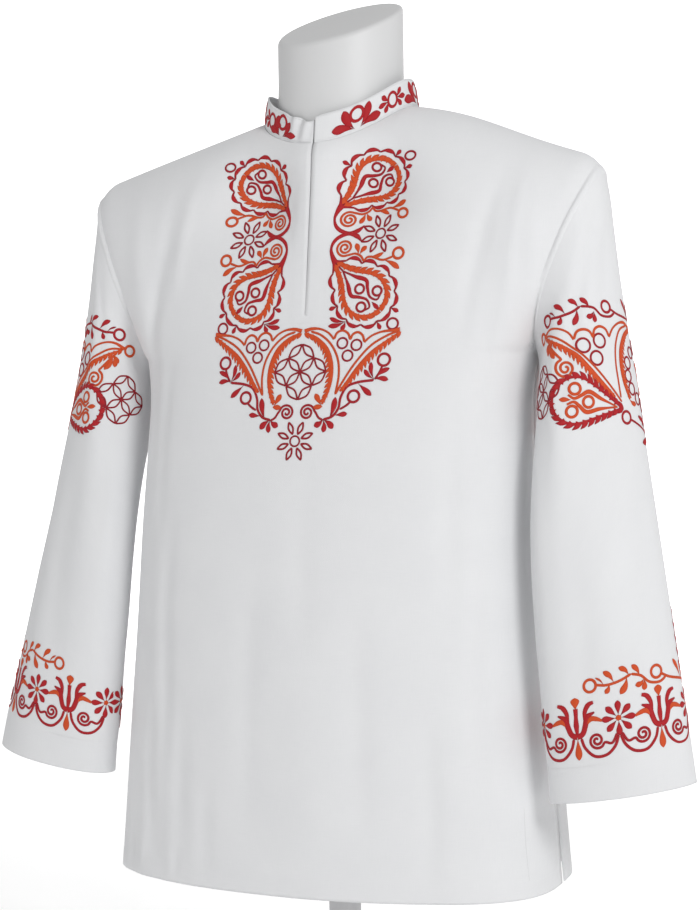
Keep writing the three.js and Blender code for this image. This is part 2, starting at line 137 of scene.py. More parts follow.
# path of (x, z), half-width and depth of the finer creases; a negative depth is a ridge
CREASES = {
    "front": [
        ([(-150, 930), (-158, 880), (-172, 815), (-186, 765)], 9, 2.2),
        ([(-128, 940), (-140, 880), (-150, 820)], 7, -1.5),
        ([(-172, 850), (-178, 780), (-174, 700), (-170, 640)], 8, 2.6),
        ([(-150, 760), (-156, 680), (-152, 590)], 8, 1.8),
        ([(-136, 600), (-142, 520), (-140, 430), (-146, 330)], 9, 2.4),
        ([(-160, 430), (-163, 350), (-160, 262)], 8, 2.8),
        ([(-118, 420), (-122, 340), (-120, 262)], 10, 1.8),
        ([(-90, 350), (-92, 300), (-90, 258)], 9, 1.2),
        ([(188, 935), (172, 880), (158, 820), (148, 765)], 9, 2.0),
        ([(206, 930), (200, 880), (196, 830), (190, 780)], 7, -2.2),
        ([(176, 800), (168, 720), (166, 640)], 8, 2.2),
        ([(150, 700), (147, 600), (150, 500)], 10, 1.6),
        ([(172, 560), (170, 460), (176, 340)], 9, 2.2),
        ([(130, 420), (134, 330), (132, 258)], 11, 1.8),
        ([(64, 520), (68, 420), (70, 300)], 13, 1.4),
        ([(-40, 560), (-44, 440), (-46, 300)], 14, 1.4),
        ([(10, 640), (12, 560), (14, 470)], 14, 1.0),
        ([(-14, 934), (-20, 900), (-22, 862)], 3.2, 0.9),
        ([(-24, 930), (-44, 915), (-60, 905)], 3.2, 0.7),
        ([(16, 934), (22, 905), (23, 872)], 3.2, 0.8),
        ([(-190, 300), (-188, 276), (-190, 256)], 4.5, 1.8),
        ([(-176, 296), (-174, 270), (-176, 256)], 4.5, -1.2),
        ([(-205, 330), (-204, 290), (-206, 256)], 5, 2.0),
        ([(-128, 284), (-127, 268), (-128, 254)], 4.5, 1.2),
    ],
    "back": [
        ([(-60, 930), (-66, 800), (-62, 650), (-70, 500)], 12, 3.0),
        ([(70, 920), (64, 780), (72, 620), (66, 470)], 12, 3.0),
        ([(0, 880), (6, 740), (-2, 560)], 14, -2.4),
        ([(-150, 900), (-156, 780), (-150, 640), (-156, 480)], 10, 2.8),
        ([(158, 890), (150, 760), (156, 600), (150, 440)], 10, 2.8),
        ([(-110, 560), (-104, 430), (-110, 290)], 12, 2.4),
        ([(112, 540), (118, 420), (110, 280)], 12, 2.4),
        ([(24, 520), (30, 400), (24, 270)], 12, 2.2),
        ([(-186, 420), (-184, 340), (-188, 262)], 7, 2.2),
        ([(188, 420), (186, 340), (190, 262)], 7, 2.2),
        ([(-30, 965), (-42, 920), (-40, 870)], 6, 1.4),
        ([(34, 965), (44, 915), (42, 865)], 6, 1.4),
    ],
}


def section(z):
    """Half-width, front, back and seam of the body at the heights z."""
    return np.moveaxis(curve_through(BODY[:, 0], BODY[:, 1:], z), -1, 0)


def shoulder_z(x):
    """Height of the shoulder line: 996 - 0.292 past the neck - 0.02 past^2 at the tip, lifted on one side."""
    away = np.abs(x)
    past = np.maximum(away - 245, 0)
    return 11 * bell((x - 125) / 72) + NECK_SIDE_Z - 0.292 * np.maximum(away - NECK_HALF, 0) - 0.02 * past**2


def body_y(face, x, z, turn, edge=None):
    """Y of a panel at (x, z): depth = (full * c^0.62 + armhole * (1 - c^0.62)^2) * sin(turn).

    c is the cosine of the place across, and the depth is taken from the side seam.
    """
    half, front, back, seam = section(z)
    across = np.clip(x / half, -1, 1) if edge is None else edge
    full = np.abs((front if face == "front" else back) - seam)
    share = np.maximum(1 - across**2, 0) ** 0.31
    up = np.clip((z - UNDERARM_Z) / 80, 0, 1)
    depth = (full * share + 56 * np.sqrt(np.maximum(1 - (1 - up) ** 2, 0)) * (1 - share) ** 2) * np.sin(turn)
    folds = sum(d * bell((x - fx) / w) * bell((z - fz) / n) for fx, fz, w, n, d in BROAD_FOLDS[face])
    hollow = 0
    if face == "front":
        away = (x / 60) ** 2
        hollow = 24 * away * np.exp(1 - away) * bell((z - 912) / 48) * np.sin(turn)
    pressed = (folds + CREASE_DEPTH * creased(x, z, CREASES[face])) * share + hollow
    return seam + (-1 if face == "front" else 1) * np.maximum(depth - pressed, 0)


def round_height(face, x):
    """Height over which a column rounds over the shoulder, less at the neckline: mix(round, 90, (x / 78)^2)."""
    share = np.minimum(np.abs(x) / NECK_HALF, 1) ** 2
    return NECK_ROUND[face] + (SHOULDER_ROUND - NECK_ROUND[face]) * share


def first_turn(face, x):
    """Angle over the shoulder where a column starts: the neckline is an ellipse in plan."""
    middle = np.arccos(1 - NECK_DROP[face] / NECK_ROUND[face])
    inside = np.sqrt(np.clip(1 - (x / NECK_HALF) ** 2, 0, 1))
    return np.arcsin(np.sin(middle) * inside)


def panel_points(face, sines, rounded, down):
    """Grid of points: columns at sin(angle) = sines, rows over the shoulder, then down to the hem."""
    top_x = TIP_HALF * sines[None, :]
    ridge, start, height = shoulder_z(top_x), first_turn(face, top_x), round_height(face, top_x)
    turn = start + (np.pi / 2 - start) * rounded[:, None]
    z_round = ridge - height * (1 - np.cos(turn))
    z_down = (ridge - height) + (HEM_Z - ridge + height) * down[:, None]
    z = np.vstack([z_round, z_down])
    turn = np.vstack([turn, np.full(z_down.shape, np.pi / 2)])
    edge = np.broadcast_to(sines, z.shape)
    x = section(z)[0] * edge
    return np.stack([x, body_y(face, x, z, turn, edge), z], -1)


def body_place(face, x, z):
    """Point on a panel over (x, z); the turn over the shoulder is acos(1 - (ridge - z) / round height)."""
    top_x = TIP_HALF * np.clip(x / section(z)[0], -1, 1)
    drop = (shoulder_z(top_x) - z) / round_height(face, top_x)
    turn = np.arccos(np.clip(1 - drop, 0, 1))
    return np.stack([x, body_y(face, x, z, turn), z], -1)

# %% [markdown]
# ## Sleeves
# Each sleeve is a straight wide tube pressed flat. It starts on the armhole's edge and hangs down and a
# little forward to an open cuff, with an outer and an inner fold line.

# %% Sleeve surface
# outer fold x y z, inner fold x y z, half-thickness, from armhole to cuff
SLEEVE = np.array([
    (271, 23, 906, 207, 14, 742, 56), (274, 26, 878, 209, 0, 716, 54), (279, 30, 832, 211, -22, 682, 51),
    (286, 31, 782, 212, -42, 643, 48), (296, 27, 724, 213, -56, 598, 45), (307, 16, 662, 215, -62, 550, 43),
    (319, 4, 598, 218, -64, 500, 42), (332, -10, 530, 222, -64, 448, 40), (345, -24, 460, 226, -63, 394, 39),
    (358, -38, 392, 230, -62, 356, 37), (363, -43, 363, 231, -61, 340, 36),
], float)
# angle round, row, half-width, half-length and depth of the broad folds
SLEEVE_FOLDS = [(2.45, 1.5, 0.3, 3.2, 5), (3.05, 5.5, 0.3, 3.5, 4), (-2.2, 4, 0.35, 4, 4), (1.3, 7.5, 0.4, 3, -3)]
AROUND = np.linspace(0, 2 * np.pi, 181)


def armhole_edge(side, inset=0.0):
    """Armhole as a closed loop at AROUND: tip, down the front, underarm at a half turn, up the back."""
    sines, rounded, down = np.array([side * (1 - inset)]), np.linspace(0, 1, 40), np.linspace(0, 1, 200)[1:]
    halves = []
    for face in ("front", "back"):
        edge = panel_points(face, sines, rounded, down)[:, 0]
        edge = edge[edge[:, 2] > UNDERARM_Z + 1]
        edge[0, 1] = SHOULDER_Y
        halves.append(np.vstack([edge, [side * 203, 18, UNDERARM_Z]]))
    front_half, back_half = halves
    loop = []
    for half, angles in ((front_half, AROUND[:91]), (back_half, 2 * np.pi - AROUND[91:])):
        gone = np.r_[0, np.cumsum(np.linalg.norm(np.diff(half, axis=0), axis=1))]
        at = angles / np.pi * gone[-1]
        loop.append(np.stack([np.interp(at, gone, half[:, k]) for k in range(3)], -1))
    return np.vstack(loop)


def armhole_loop(side):
    """Start of the sleeve: the armhole moved out by the seam gap, which is widest at the underarm."""
    more = 1 + 1.6 * bell((np.minimum(AROUND, 2 * np.pi - AROUND) - np.pi) / 1.1)[:, None]
    return armhole_edge(side) + np.array([side * 0.9, 0, -0.7]) * more


def sleeve_rings(side):
    """Rings of the sleeve at AROUND: middle + half cos(a) (1 - fold/|half|) + forward sin(a) (thick - fold)."""
    rings = [armhole_loop(side)]
    for row, (ox, oy, oz, ix, iy, iz, thick) in enumerate(SLEEVE):
        out, inner = np.array([ox, oy, oz]), np.array([ix, iy, iz])
        middle, half = (out + inner) / 2, (out - inner) / 2
        along = half / np.linalg.norm(half)
        forward = np.array([0.0, -1, 0]) - along * -along[1]
        forward /= np.linalg.norm(forward)
        turned = [np.arctan2(np.sin(AROUND - a), np.cos(AROUND - a)) / w for a, _, w, _, _ in SLEEVE_FOLDS]
        fold = sum(d * bell(t) * bell((row - r) / n) for t, (_, r, _, n, d) in zip(turned, SLEEVE_FOLDS))
        ring = middle + half * (np.cos(AROUND) * (1 - fold / np.linalg.norm(half)))[:, None]
        ring = ring + forward * (np.sin(AROUND) * (thick - fold))[:, None]
        rings.append(ring * [side, 1, 1])
    return np.array(rings)


RINGS = {side: sleeve_rings(side) for side in (1, -1)}
middle_line = RINGS[1].mean(1)
RING_AT = np.r_[0, np.cumsum(np.linalg.norm(np.diff(middle_line, axis=0), axis=1))]
SLEEVE_LENGTH = RING_AT[-1]
# path of (round from the outer fold, down from the armhole), half-width and depth of the sleeves' creases
SLEEVE_CREASES = {
    1: [
        ([(20, 6), (52, 40), (84, 92), (118, 150)], 11, 3.0),
        ([(-8, 30), (30, 70), (58, 130)], 12, 2.2),
        ([(96, 20), (108, 90), (112, 170)], 9, -2.0),
        ([(30, 250), (60, 320), (70, 400)], 14, 2.0),
        ([(110, 240), (104, 340), (108, 450)], 12, 2.2),
        ([(-60, 20), (-90, 120), (-96, 220)], 11, 2.4)],
    -1: [
        ([(24, 4), (50, 44), (70, 100), (84, 170)], 11, 3.0),
        ([(64, 6), (92, 60), (106, 130)], 10, 2.4),
        ([(10, 60), (22, 140), (20, 230)], 12, -2.0),
        ([(96, 200), (88, 300), (92, 420)], 13, 2.4),
        ([(40, 260), (52, 350), (48, 440)], 14, 1.8),
        ([(-70, 30), (-92, 110), (-90, 230)], 11, 2.4)],
}
GIRTH_RATE = 54  # millimetres round the sleeve for each radian
print("sleeve length along its middle:", round(SLEEVE_LENGTH), "mm")


def sleeve_grid(side, downs, arounds):
    """Points at the distances down the sleeve and the angles round it, with the ring curves between rings."""
    by_ring = curve_through(RING_AT, RINGS[side], np.asarray(downs))
    grid = np.stack([curve_through(AROUND, by_ring[:, :, k].T, arounds).T for k in range(3)], -1)
    angle = np.arctan2(np.sin(arounds), np.cos(arounds))
    around, down = np.meshgrid(GIRTH_RATE * angle, downs)
    outward = np.stack([0.9 * side * np.cos(angle), -np.sin(angle), 0.4 * np.cos(angle)], -1)
    return grid - creased(around, down, SLEEVE_CREASES[side])[..., None] * outward


# %% [markdown]
# The embroidery is drawn on the flat sleeve before it is sewn. Its places are kept as on the flat cloth: the
# distance round from the outer fold, and the height above the cuff's edge along the cloth's grain.

# %% Flat sleeve
STEP = 2.0
FLAT_S, FLAT_H = np.arange(-172, 172 + STEP, STEP), np.arange(0, 470 + STEP, STEP)


def flat_sleeve(side):
    """Places of the flat sleeve's points (height FLAT_H, round FLAT_S) on the worn one.

    Along each line of grain, the length from the cuff gives the height; along each height, the length
    from the outer fold gives the distance round.
    """
    rows, cols = 240, 361
    grid = sleeve_grid(side, np.linspace(SLEEVE_LENGTH, 0, rows), np.linspace(-np.pi, np.pi, cols) % (2 * np.pi))
    up = np.cumsum(np.linalg.norm(np.diff(grid, axis=0), axis=2), axis=0)
    up = np.vstack([np.zeros((1, cols)), up])
    level = np.empty((len(FLAT_H), cols, 3))
    for j in range(cols):
        for k in range(3):
            level[:, j, k] = np.interp(FLAT_H, up[:, j], grid[:, j, k])
    gone = np.cumsum(np.linalg.norm(np.diff(level, axis=1), axis=2), axis=1)
    gone = np.hstack([np.zeros((len(FLAT_H), 1)), gone])
    gone -= gone[:, [cols // 2]]
    flat = np.empty((len(FLAT_H), len(FLAT_S), 3))
    for i in range(len(FLAT_H)):
        for k in range(3):
            flat[i, :, k] = np.interp(FLAT_S, gone[i], level[i, :, k])
    return flat


FLAT = {side: flat_sleeve(side) for side in (1, -1)}

# %% [markdown]
# ## Making a piece of cloth
# Each piece is one mesh: the outer face of the cloth, with a little thickness turned inwards. Cloth is raised
# where an edge is folded under, which shows as the soft line of a hem.

# %% Mesh makers
CLOTH_THICKNESS = 1.0
OUT = 0.8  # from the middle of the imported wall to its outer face


def grid_normals(grid, closed=False):
    """Unit normals of a grid of points: the cross product of its two central differences."""
    down = np.gradient(grid, axis=0)
    if closed:
        across = (np.roll(grid, -1, 1) - np.roll(grid, 1, 1)) / 2
    else:
        across = np.gradient(grid, axis=1)
    normal = np.cross(down, across)
    return normal / np.maximum(np.linalg.norm(normal, axis=-1, keepdims=True), 1e-9)


def grid_quads(rows, cols, closed=False, start=0):
    """Corner numbers of the quads of a grid, row by row."""
    last = cols if closed else cols - 1
    r, c = np.meshgrid(np.arange(rows - 1), np.arange(last), indexing="ij")
    n = (c + 1) % cols
    return np.stack([r * cols + c, (r + 1) * cols + c, (r + 1) * cols + n, r * cols + n], -1).reshape(-1, 4) + start


def make_mesh(name, points, quads, flat=None, paint=None, smooth=True):
    """A mesh object in metres from points in millimetres, with its flat places as UV and paint as a colour: the share
    of painted shade on thread strokes.
    """
    mesh = bpy.data.meshes.new(name)
    mesh.vertices.add(len(points))
    mesh.vertices.foreach_set("co", (points * MM).astype(np.float32).ravel())
    sizes = np.full(len(quads), quads.shape[1])
    mesh.loops.add(quads.size)
    mesh.loops.foreach_set("vertex_index", quads.astype(np.int32).ravel())
    mesh.polygons.add(len(quads))
    mesh.polygons.foreach_set("loop_start", (np.cumsum(sizes) - sizes).astype(np.int32))
    mesh.update(calc_edges=True)
    mesh.validate()
    if flat is not None:
        uv = mesh.uv_layers.new(name="flat")
        uv.data.foreach_set("uv", (flat[quads.ravel()] * 0.01).astype(np.float32).ravel())
    if paint is not None:
        # paint is the share of painted shade: the darkening of thread strokes along their edges and on thin strokes
        tint = mesh.attributes.new("thread_painted_shade", "FLOAT", "POINT")
        tint.data.foreach_set("value", paint.astype(np.float32))
    if smooth:
        mesh.polygons.foreach_set("use_smooth", np.ones(len(quads), bool))
    piece = bpy.data.objects.new(name, mesh)
    bpy.context.scene.collection.objects.link(piece)
    return piece


def thicken(piece, thickness):
    """Cloth thickness turned inwards from the outer face."""
    shell = piece.modifiers.new("thickness", "SOLIDIFY")
    shell.thickness, shell.offset = thickness * MM, -1
    return piece


def flat_area(piece):
    """Area of the outer face in square metres."""
    return sum(p.area for p in piece.data.polygons)


# %% Front and back
HEM_FOLD, SLIT_FACING = 16, 15


def panel_piece(face, columns, rounded_rows, down_rows):
    """A panel's grid, doubled down the middle of the front to the end of the slit."""
    angles = np.linspace(-np.pi / 2, np.pi / 2, columns)
    down = np.linspace(0, 1, down_rows + 1)[1:]
    middle = columns // 2
    points = panel_points(face, np.sin(angles), np.linspace(0, 1, rounded_rows), down)
    x, z = points[..., 0], points[..., 2]
    sign = -1 if face == "front" else 1
    on_side = np.zeros(x.shape, bool)
    on_side[:, [0, -1]] = z[:, [0, -1]] <= UNDERARM_Z
    on_shoulder = np.zeros(x.shape, bool)
    on_shoulder[0] = np.abs(x[0]) > NECK_HALF
    open_by = VENT_WIDTH / 2 * np.clip((HEM_Z + VENT_HEIGHT - z) / VENT_HEIGHT, 0, 1)
    points[..., 1] += sign * (0.15 * (on_side | on_shoulder) + on_side * open_by)
    normals = grid_normals(points) * (1 if face == "front" else -1)
    level = on_side | on_shoulder
    normals[level] *= [1, 0, 1]
    normals /= np.linalg.norm(normals, axis=-1, keepdims=True)
    raised = 0.45 * soft_step(HEM_Z + HEM_FOLD + 2, HEM_Z + HEM_FOLD - 2, z)
    nearest_edge = np.where(np.arange(columns) < middle, x[:, :1], x[:, -1:])
    beside_vent = np.abs(x - nearest_edge)
    raised = np.maximum(raised, 0.3 * soft_step(9, 6, beside_vent) * (z < HEM_Z + VENT_HEIGHT + 6))
    if face == "front":
        beside_slit = 0.3 * soft_step(SLIT_FACING + 1.5, SLIT_FACING - 1.5, np.abs(x))
        raised = np.maximum(raised, beside_slit * (z > SLIT_END_Z - 8))
    points = points + normals * (OUT + raised)[..., None]
    rows = points.shape[0]
    flat = np.stack([x, z], -1).reshape(-1, 2)
    quads = grid_quads(rows, columns)
    if face == "back":
        return make_mesh("back_cloth", points.reshape(-1, 3), quads[:, ::-1], flat)
    open_rows = np.nonzero(points[:, middle, 2] > SLIT_END_Z)[0]
    share_up = np.clip((points[open_rows, middle, 2] - SLIT_END_Z) / (SLIT_TOP_Z - SLIT_END_Z), 0, 1)
    half = SLIT_TOP_WIDTH / 2 * share_up**0.8
    near = np.clip(1 - np.abs(np.arange(columns) - middle) / 8, 0, 1)  # neighbouring columns give way
    side = np.sign(np.arange(columns) - middle)
    points[open_rows, :, 0] += half[:, None] * near * side
    left = points[open_rows, middle].copy()
    left[:, 0] = half
    points[open_rows, middle, 0] = -half
    every = np.vstack([points.reshape(-1, 3), left])
    flat = np.vstack([flat, flat.reshape(rows, columns, 2)[open_rows, middle]])
    swap = np.arange(len(every))
    swap[open_rows * columns + middle] = rows * columns + np.arange(len(open_rows))
    is_left = (quads[:, 0] % columns) >= middle
    quads = np.where(is_left[:, None], swap[quads], quads)
    return make_mesh("front_cloth", every, quads, flat)


front = thicken(panel_piece("front", 171, 36, 200), CLOTH_THICKNESS)
back = thicken(panel_piece("back", 111, 26, 150), CLOTH_THICKNESS)
print("front and back area:", round(flat_area(front), 3), round(flat_area(back), 3), "m2")

# %% Sleeves
CUFF_FOLD = 34


def sleeve_piece(side):
    """A sleeve's tube from the armhole to the cuff, raised over the folded cuff."""
    cuff_start = SLEEVE_LENGTH - CUFF_FOLD - 5
    downs = np.r_[np.linspace(0, cuff_start - 3, 118), np.linspace(cuff_start, SLEEVE_LENGTH, 20)]
    angles = np.linspace(0, 2 * np.pi, 129)[:-1]
    points = sleeve_grid(side, downs, angles)
    normals = grid_normals(points, closed=True) * -side
    up = SLEEVE_LENGTH - downs[:, None]
    raised = 0.35 * soft_step(CUFF_FOLD + 1, CUFF_FOLD - 2, up) * np.ones(len(angles))
    points = points + normals * (OUT + raised)[..., None]
    girth = np.cumsum(np.linalg.norm(np.roll(points, -1, 1) - points, axis=2), axis=1)
    flat = np.stack([girth, np.broadcast_to(up, girth.shape)], -1).reshape(-1, 2)
    quads = grid_quads(len(downs), len(angles), closed=True)
    name = "sleeve_left_cloth" if side > 0 else "sleeve_right_cloth"
    return make_mesh(name, points.reshape(-1, 3), quads[:, ::-1] if side > 0 else quads, flat)


sleeves = {side: thicken(sleeve_piece(side), CLOTH_THICKNESS) for side in (1, -1)}
print("sleeve area:", round(flat_area(sleeves[1]), 3), "m2")


def armhole_seam(side):
    """The felled armhole seam: a ridge from 3 mm inside the panel's edge to 4 mm down the sleeve."""
    body = [armhole_edge(side, inset) for inset in (0.014, 0.007, 0.0)]
    cloth = list(sleeve_grid(side, np.array([0.6, 2.2, 4.2]), AROUND))
    rows = np.array(body + cloth)[:, :-1]
    height = OUT + np.array([-0.25, 0.45, 0.7, 0.7, 0.45, -0.25])[:, None]
    height = height + 0.12 * np.sin(np.arange(rows.shape[1]) * 1.7) * (height > OUT)
    points = rows - side * grid_normals(rows, closed=True) * height[..., None]
    s, h = np.meshgrid(np.arange(rows.shape[1]) * 3.0, np.arange(6) * 1.5)
    quads = grid_quads(6, rows.shape[1], closed=True)
    name = "armhole_seam_left" if side > 0 else "armhole_seam_right"
    flat = np.stack([s, h], -1).reshape(-1, 2)
    return make_mesh(name, points.reshape(-1, 3), quads[:, ::-1] if side > 0 else quads, flat)


seams = {side: armhole_seam(side) for side in (1, -1)}

# %% [markdown]
# ## Standing collar band
# A straight strip, folded double and sewn round the neckline. It stands up and leans in a little towards the
# neck, is open over the slit, and its end on the wearer's right is crumpled.

# %% Collar surface
COLLAR_HEIGHT, COLLAR_LEAN = 27, 4


def neckline():
    """The line under the band: from the wearer's right of the slit, round the back, to the left of it."""
    def half_line(face, angles):
        x = NECK_HALF * np.sin(angles)
        turn = first_turn(face, x)
        z = shoulder_z(x) - round_height(face, x) * (1 - np.cos(turn))
        y = body_y(face, x, z, turn, x / TIP_HALF)
        return np.stack([x, y, z + 0.55 + 0.8 * np.cos(turn)], -1)

    quarter = np.linspace(0, np.pi / 2, 60)
    right, left = half_line("front", -quarter), half_line("front", quarter[::-1])
    right[:3, 0] = np.minimum(right[:3, 0], -SLIT_TOP_WIDTH / 2 - 0.1 * np.arange(3))
    left[-3:, 0] = np.maximum(left[-3:, 0], SLIT_TOP_WIDTH / 2 + 0.1 * np.arange(3)[::-1])
    behind = half_line("back", np.linspace(-np.pi / 2, np.pi / 2, 119))
    return np.vstack([right, behind[1:-1], left])


NECKLINE = neckline()
NECK_AT = np.r_[0, np.cumsum(np.linalg.norm(np.diff(NECKLINE, axis=0), axis=1))]
COLLAR_LENGTH = NECK_AT[-1]
print("collar band length:", round(COLLAR_LENGTH), "mm")


def collar_place(s, h):
    """Point on the band's outer face at s along it and h up it; base + inward * (lean + wave) * h / height."""
    base = np.stack([np.interp(s, NECK_AT, NECKLINE[:, k]) for k in range(3)], -1)
    away = np.stack([-base[..., 0], SHOULDER_Y - base[..., 1]], -1)
    away /= np.linalg.norm(away, axis=-1, keepdims=True)
    up = h / COLLAR_HEIGHT
    crumple = 3.0 * np.sin(s / 2.6 + 1.8 * up) * bell((s - 16) / 15) * (0.3 + 0.7 * up)
    crumple = crumple + 0.8 * np.sin(s / 7.0 + 0.6) * bell((s - 52) / 26) * up
    calm = 0.5 * np.sin((COLLAR_LENGTH - s) / 5.0) * bell((COLLAR_LENGTH - s - 8) / 9) * up
    wander = 0.45 * np.sin(s / 27.0) * up
    tucked = 1.6 * soft_step(1.0, -2.0, h)  # the seam allowance goes under the panel's edge
    inward = COLLAR_LEAN * up + crumple * soft_step(0, 6, h) + calm + wander - OUT + tucked
    x, y = base[..., 0] + away[..., 0] * inward, base[..., 1] + away[..., 1] * inward
    end_drop = 1.8 * bell((COLLAR_LENGTH - s) / 5) * up + (4.5 + 1.6 * np.sin(s / 4.1)) * bell((s - 6) / 26) * up
    return np.stack([x, y, base[..., 2] + h - end_drop], -1)


def collar_piece():
    """The band as a grid along and up it, raised a little along its top fold."""
    s, h = np.meshgrid(np.linspace(0, COLLAR_LENGTH, 261), np.linspace(-2.2, COLLAR_HEIGHT, 14))
    points = collar_place(s, h)
    quads = grid_quads(*s.shape)
    piece = make_mesh("collar_band_cloth", points.reshape(-1, 3), quads, np.stack([s, h], -1).reshape(-1, 2))
    return thicken(piece, 1.5)


collar = collar_piece()


def underlap_piece():
    """A narrow strip sewn behind the slit, so that it shows white where the slit falls open."""
    across, z = np.meshgrid(np.linspace(-13, 13, 9), np.linspace(SLIT_TOP_Z - 1, SLIT_END_Z - 18, 60))
    points = body_place("front", across, z)
    points[..., 1] += 0.35
    quads = grid_quads(*across.shape)
    flat = np.stack([across, z], -1).reshape(-1, 2)
    return thicken(make_mesh("slit_underlap", points.reshape(-1, 3), quads, flat), CLOTH_THICKNESS)


underlap = underlap_piece()

# %% [markdown]
# ## Dress form and stand
# The form is a limbless shell, smooth and closed, with a slanting neck top. It stands on a steel pole and a
# round base; both are turned and powder coated.

# %% Form, pole and base
# height, half-width, Y of front, Y of back, radius of neck
FORM = np.array([
    (300, 150, -88, 100, 0), (306, 160, -98, 108, 0), (420, 166, -100, 108, 0), (560, 148, -86, 94, 0),
    (680, 160, -80, 100, 0), (780, 178, -64, 108, 0), (850, 190, -50, 104, 0), (900, 204, -36, 92, 64),
    (938, 208, -26, 80, 65), (957, 205, -14, 66, 65), (972, 154, -5, 58, 64.5), (988, 94, 6, 34, 64),
    (996, 66, 4, 36, 64), (1030, 63, 4, 36, 63),
], float)
NECK_RADIUS, NECK_TOP_Z, NECK_EDGE = 63, 1093, 5


def lofted(name, rings):
    """A closed smooth piece through rings of points, with a small round fan over each end."""
    rows, cols = rings.shape[:2]
    quads = grid_quads(rows, cols, closed=True)[:, ::-1]
    points = rings.reshape(-1, 3)
    caps = []
    for ring, flip in ((0, False), (rows - 1, True)):
        centre = points[ring * cols:(ring + 1) * cols].mean(0)
        for share in (0.5, 0.02):
            inner = centre + (points[ring * cols:(ring + 1) * cols] - centre) * share
            start, outer = len(points), (ring * cols if share == 0.5 else len(points) - cols)
            points = np.vstack([points, inner])
            k = np.arange(cols)
            n = (k + 1) % cols
            band = np.stack([outer + k, outer + n, start + n, start + k], -1)
            caps.append(band if flip else band[:, ::-1])
        tip = len(points)
        points = np.vstack([points, centre])
        k = np.arange(0, cols, 2)
        first = tip - cols
        fan = np.stack([first + k, first + (k + 1) % cols, first + (k + 2) % cols, np.full(len(k), tip)], -1)
        caps.append(fan if flip else fan[:, ::-1])
    return make_mesh(name, points, np.vstack([quads, *caps]))


def form_rings():
    """Rings of the form: radius = max(oval, neck) about the neck's middle, then the slanting neck top."""
    angles = np.linspace(0, 2 * np.pi, 97)[:-1]
    heights = np.r_[300, 301, 303, 306, np.linspace(312, 930, 50), np.linspace(936, 1010, 38), 1030]
    values = np.stack([np.interp(heights, FORM[:, 0], FORM[:, k]) for k in range(1, 5)], -1)
    half, near, far, neck = (values[:, [k]] for k in range(4))
    reach = np.where(np.sin(angles) < 0, SHOULDER_Y - near, far - SHOULDER_Y)
    radius = np.maximum(1 / np.hypot(np.cos(angles) / half, np.sin(angles) / reach), neck)
    x, y = radius * np.cos(angles), SHOULDER_Y + radius * np.sin(angles)
    rings = [np.stack([x, y, heights[:, None] + 0 * radius], -1)]
    for inset in NECK_EDGE * (1 - np.cos(np.linspace(0, np.pi / 2, 6))):
        below = NECK_EDGE - np.sqrt(max(NECK_EDGE**2 - (NECK_EDGE - inset) ** 2, 0))
        x, y = (NECK_RADIUS - inset) * np.cos(angles), (NECK_RADIUS - inset) * np.sin(angles)
        z = NECK_TOP_Z + 0.1 * x + 0.46 * y - below
        rings.append(np.stack([x, SHOULDER_Y + y, z], -1)[None])
    return np.concatenate(rings)


def turned(name, profile):
    """A turned piece: the profile of (radius, height) swept round the upright axis."""
    angles = np.linspace(0, 2 * np.pi, 97)[:-1]
    radius, height = np.hsplit(np.asarray(profile, float), 2)
    return lofted(name, np.stack([radius * np.cos(angles), radius * np.sin(angles), height + 0 * angles], -1))


form = lofted("form_shell", form_rings())
pole = turned("pole_tube", [(15.2, 12.3), (16, 13), (16, 299), (15.2, 299.7)])
edge = np.linspace(0, np.pi / 2, 7)
base_profile = [(158.5, 0), (160, 1.5)] + [(157 + 3 * np.cos(a), 9 + 3 * np.sin(a)) for a in edge]
base = turned("base_plate", base_profile)

# %% [markdown]
# ## Materials
# Linen and cotton in a plain weave, matt; satin-stitch thread with a soft sheen, whose strands run across each
# stroke; a smooth grey shell; and a fine powder coat. Shared effects are node groups that give only a varying
# colour, value or height.

# %% Material tools
RELIEF_DEPTH = 0.0002
WHITE_START, GREY_START = (1, 1, 1, 1), (0.9, 0.9, 0.9, 1)
EFFECTS = [("Height", "NodeSocketFloat"), ("Color", "NodeSocketColor"), ("Roughness", "NodeSocketFloat")]


def node_group(name, inputs):
    """A shader node group that gives the three effects; inputs are (name, socket type, default)."""
    group = bpy.data.node_groups.new(name, "ShaderNodeTree")
    for label, kind, default in inputs:
        socket = group.interface.new_socket(label, in_out="INPUT", socket_type=kind)
        socket.default_value = default
    for label, kind in EFFECTS:
        group.interface.new_socket(label, in_out="OUTPUT", socket_type=kind)
    return group, group.nodes.new("NodeGroupInput"), group.nodes.new("NodeGroupOutput")


def add(tree, kind, links=None, **settings):
    """A node with its settings; links are {input: value or socket}."""
    node = tree.nodes.new(kind)
    for key, value in settings.items():
        setattr(node, key, value)
    for key, value in (links or {}).items():
        if isinstance(value, bpy.types.NodeSocket):
            tree.links.new(value, node.inputs[key])
        else:
            node.inputs[key].default_value = value
    return node


def maths(tree, operation, a, b=0.0):
    """One maths node."""
    return add(tree, "ShaderNodeMath", {0: a, 1: b}, operation=operation).outputs[0]


def blended(tree, share, low, high):
    """The colour a share of the way from low to high."""
    links = {0: share, 6: low, 7: high}
    return add(tree, "ShaderNodeMix", links, data_type="RGBA", clamp_factor=True).outputs[2]


def give(tree, result, height, colour, rough):
    """Links the three effects to the group's output."""
    for (label, _), socket in zip(EFFECTS, (height, colour, rough)):
        tree.links.new(socket, result.inputs[label])


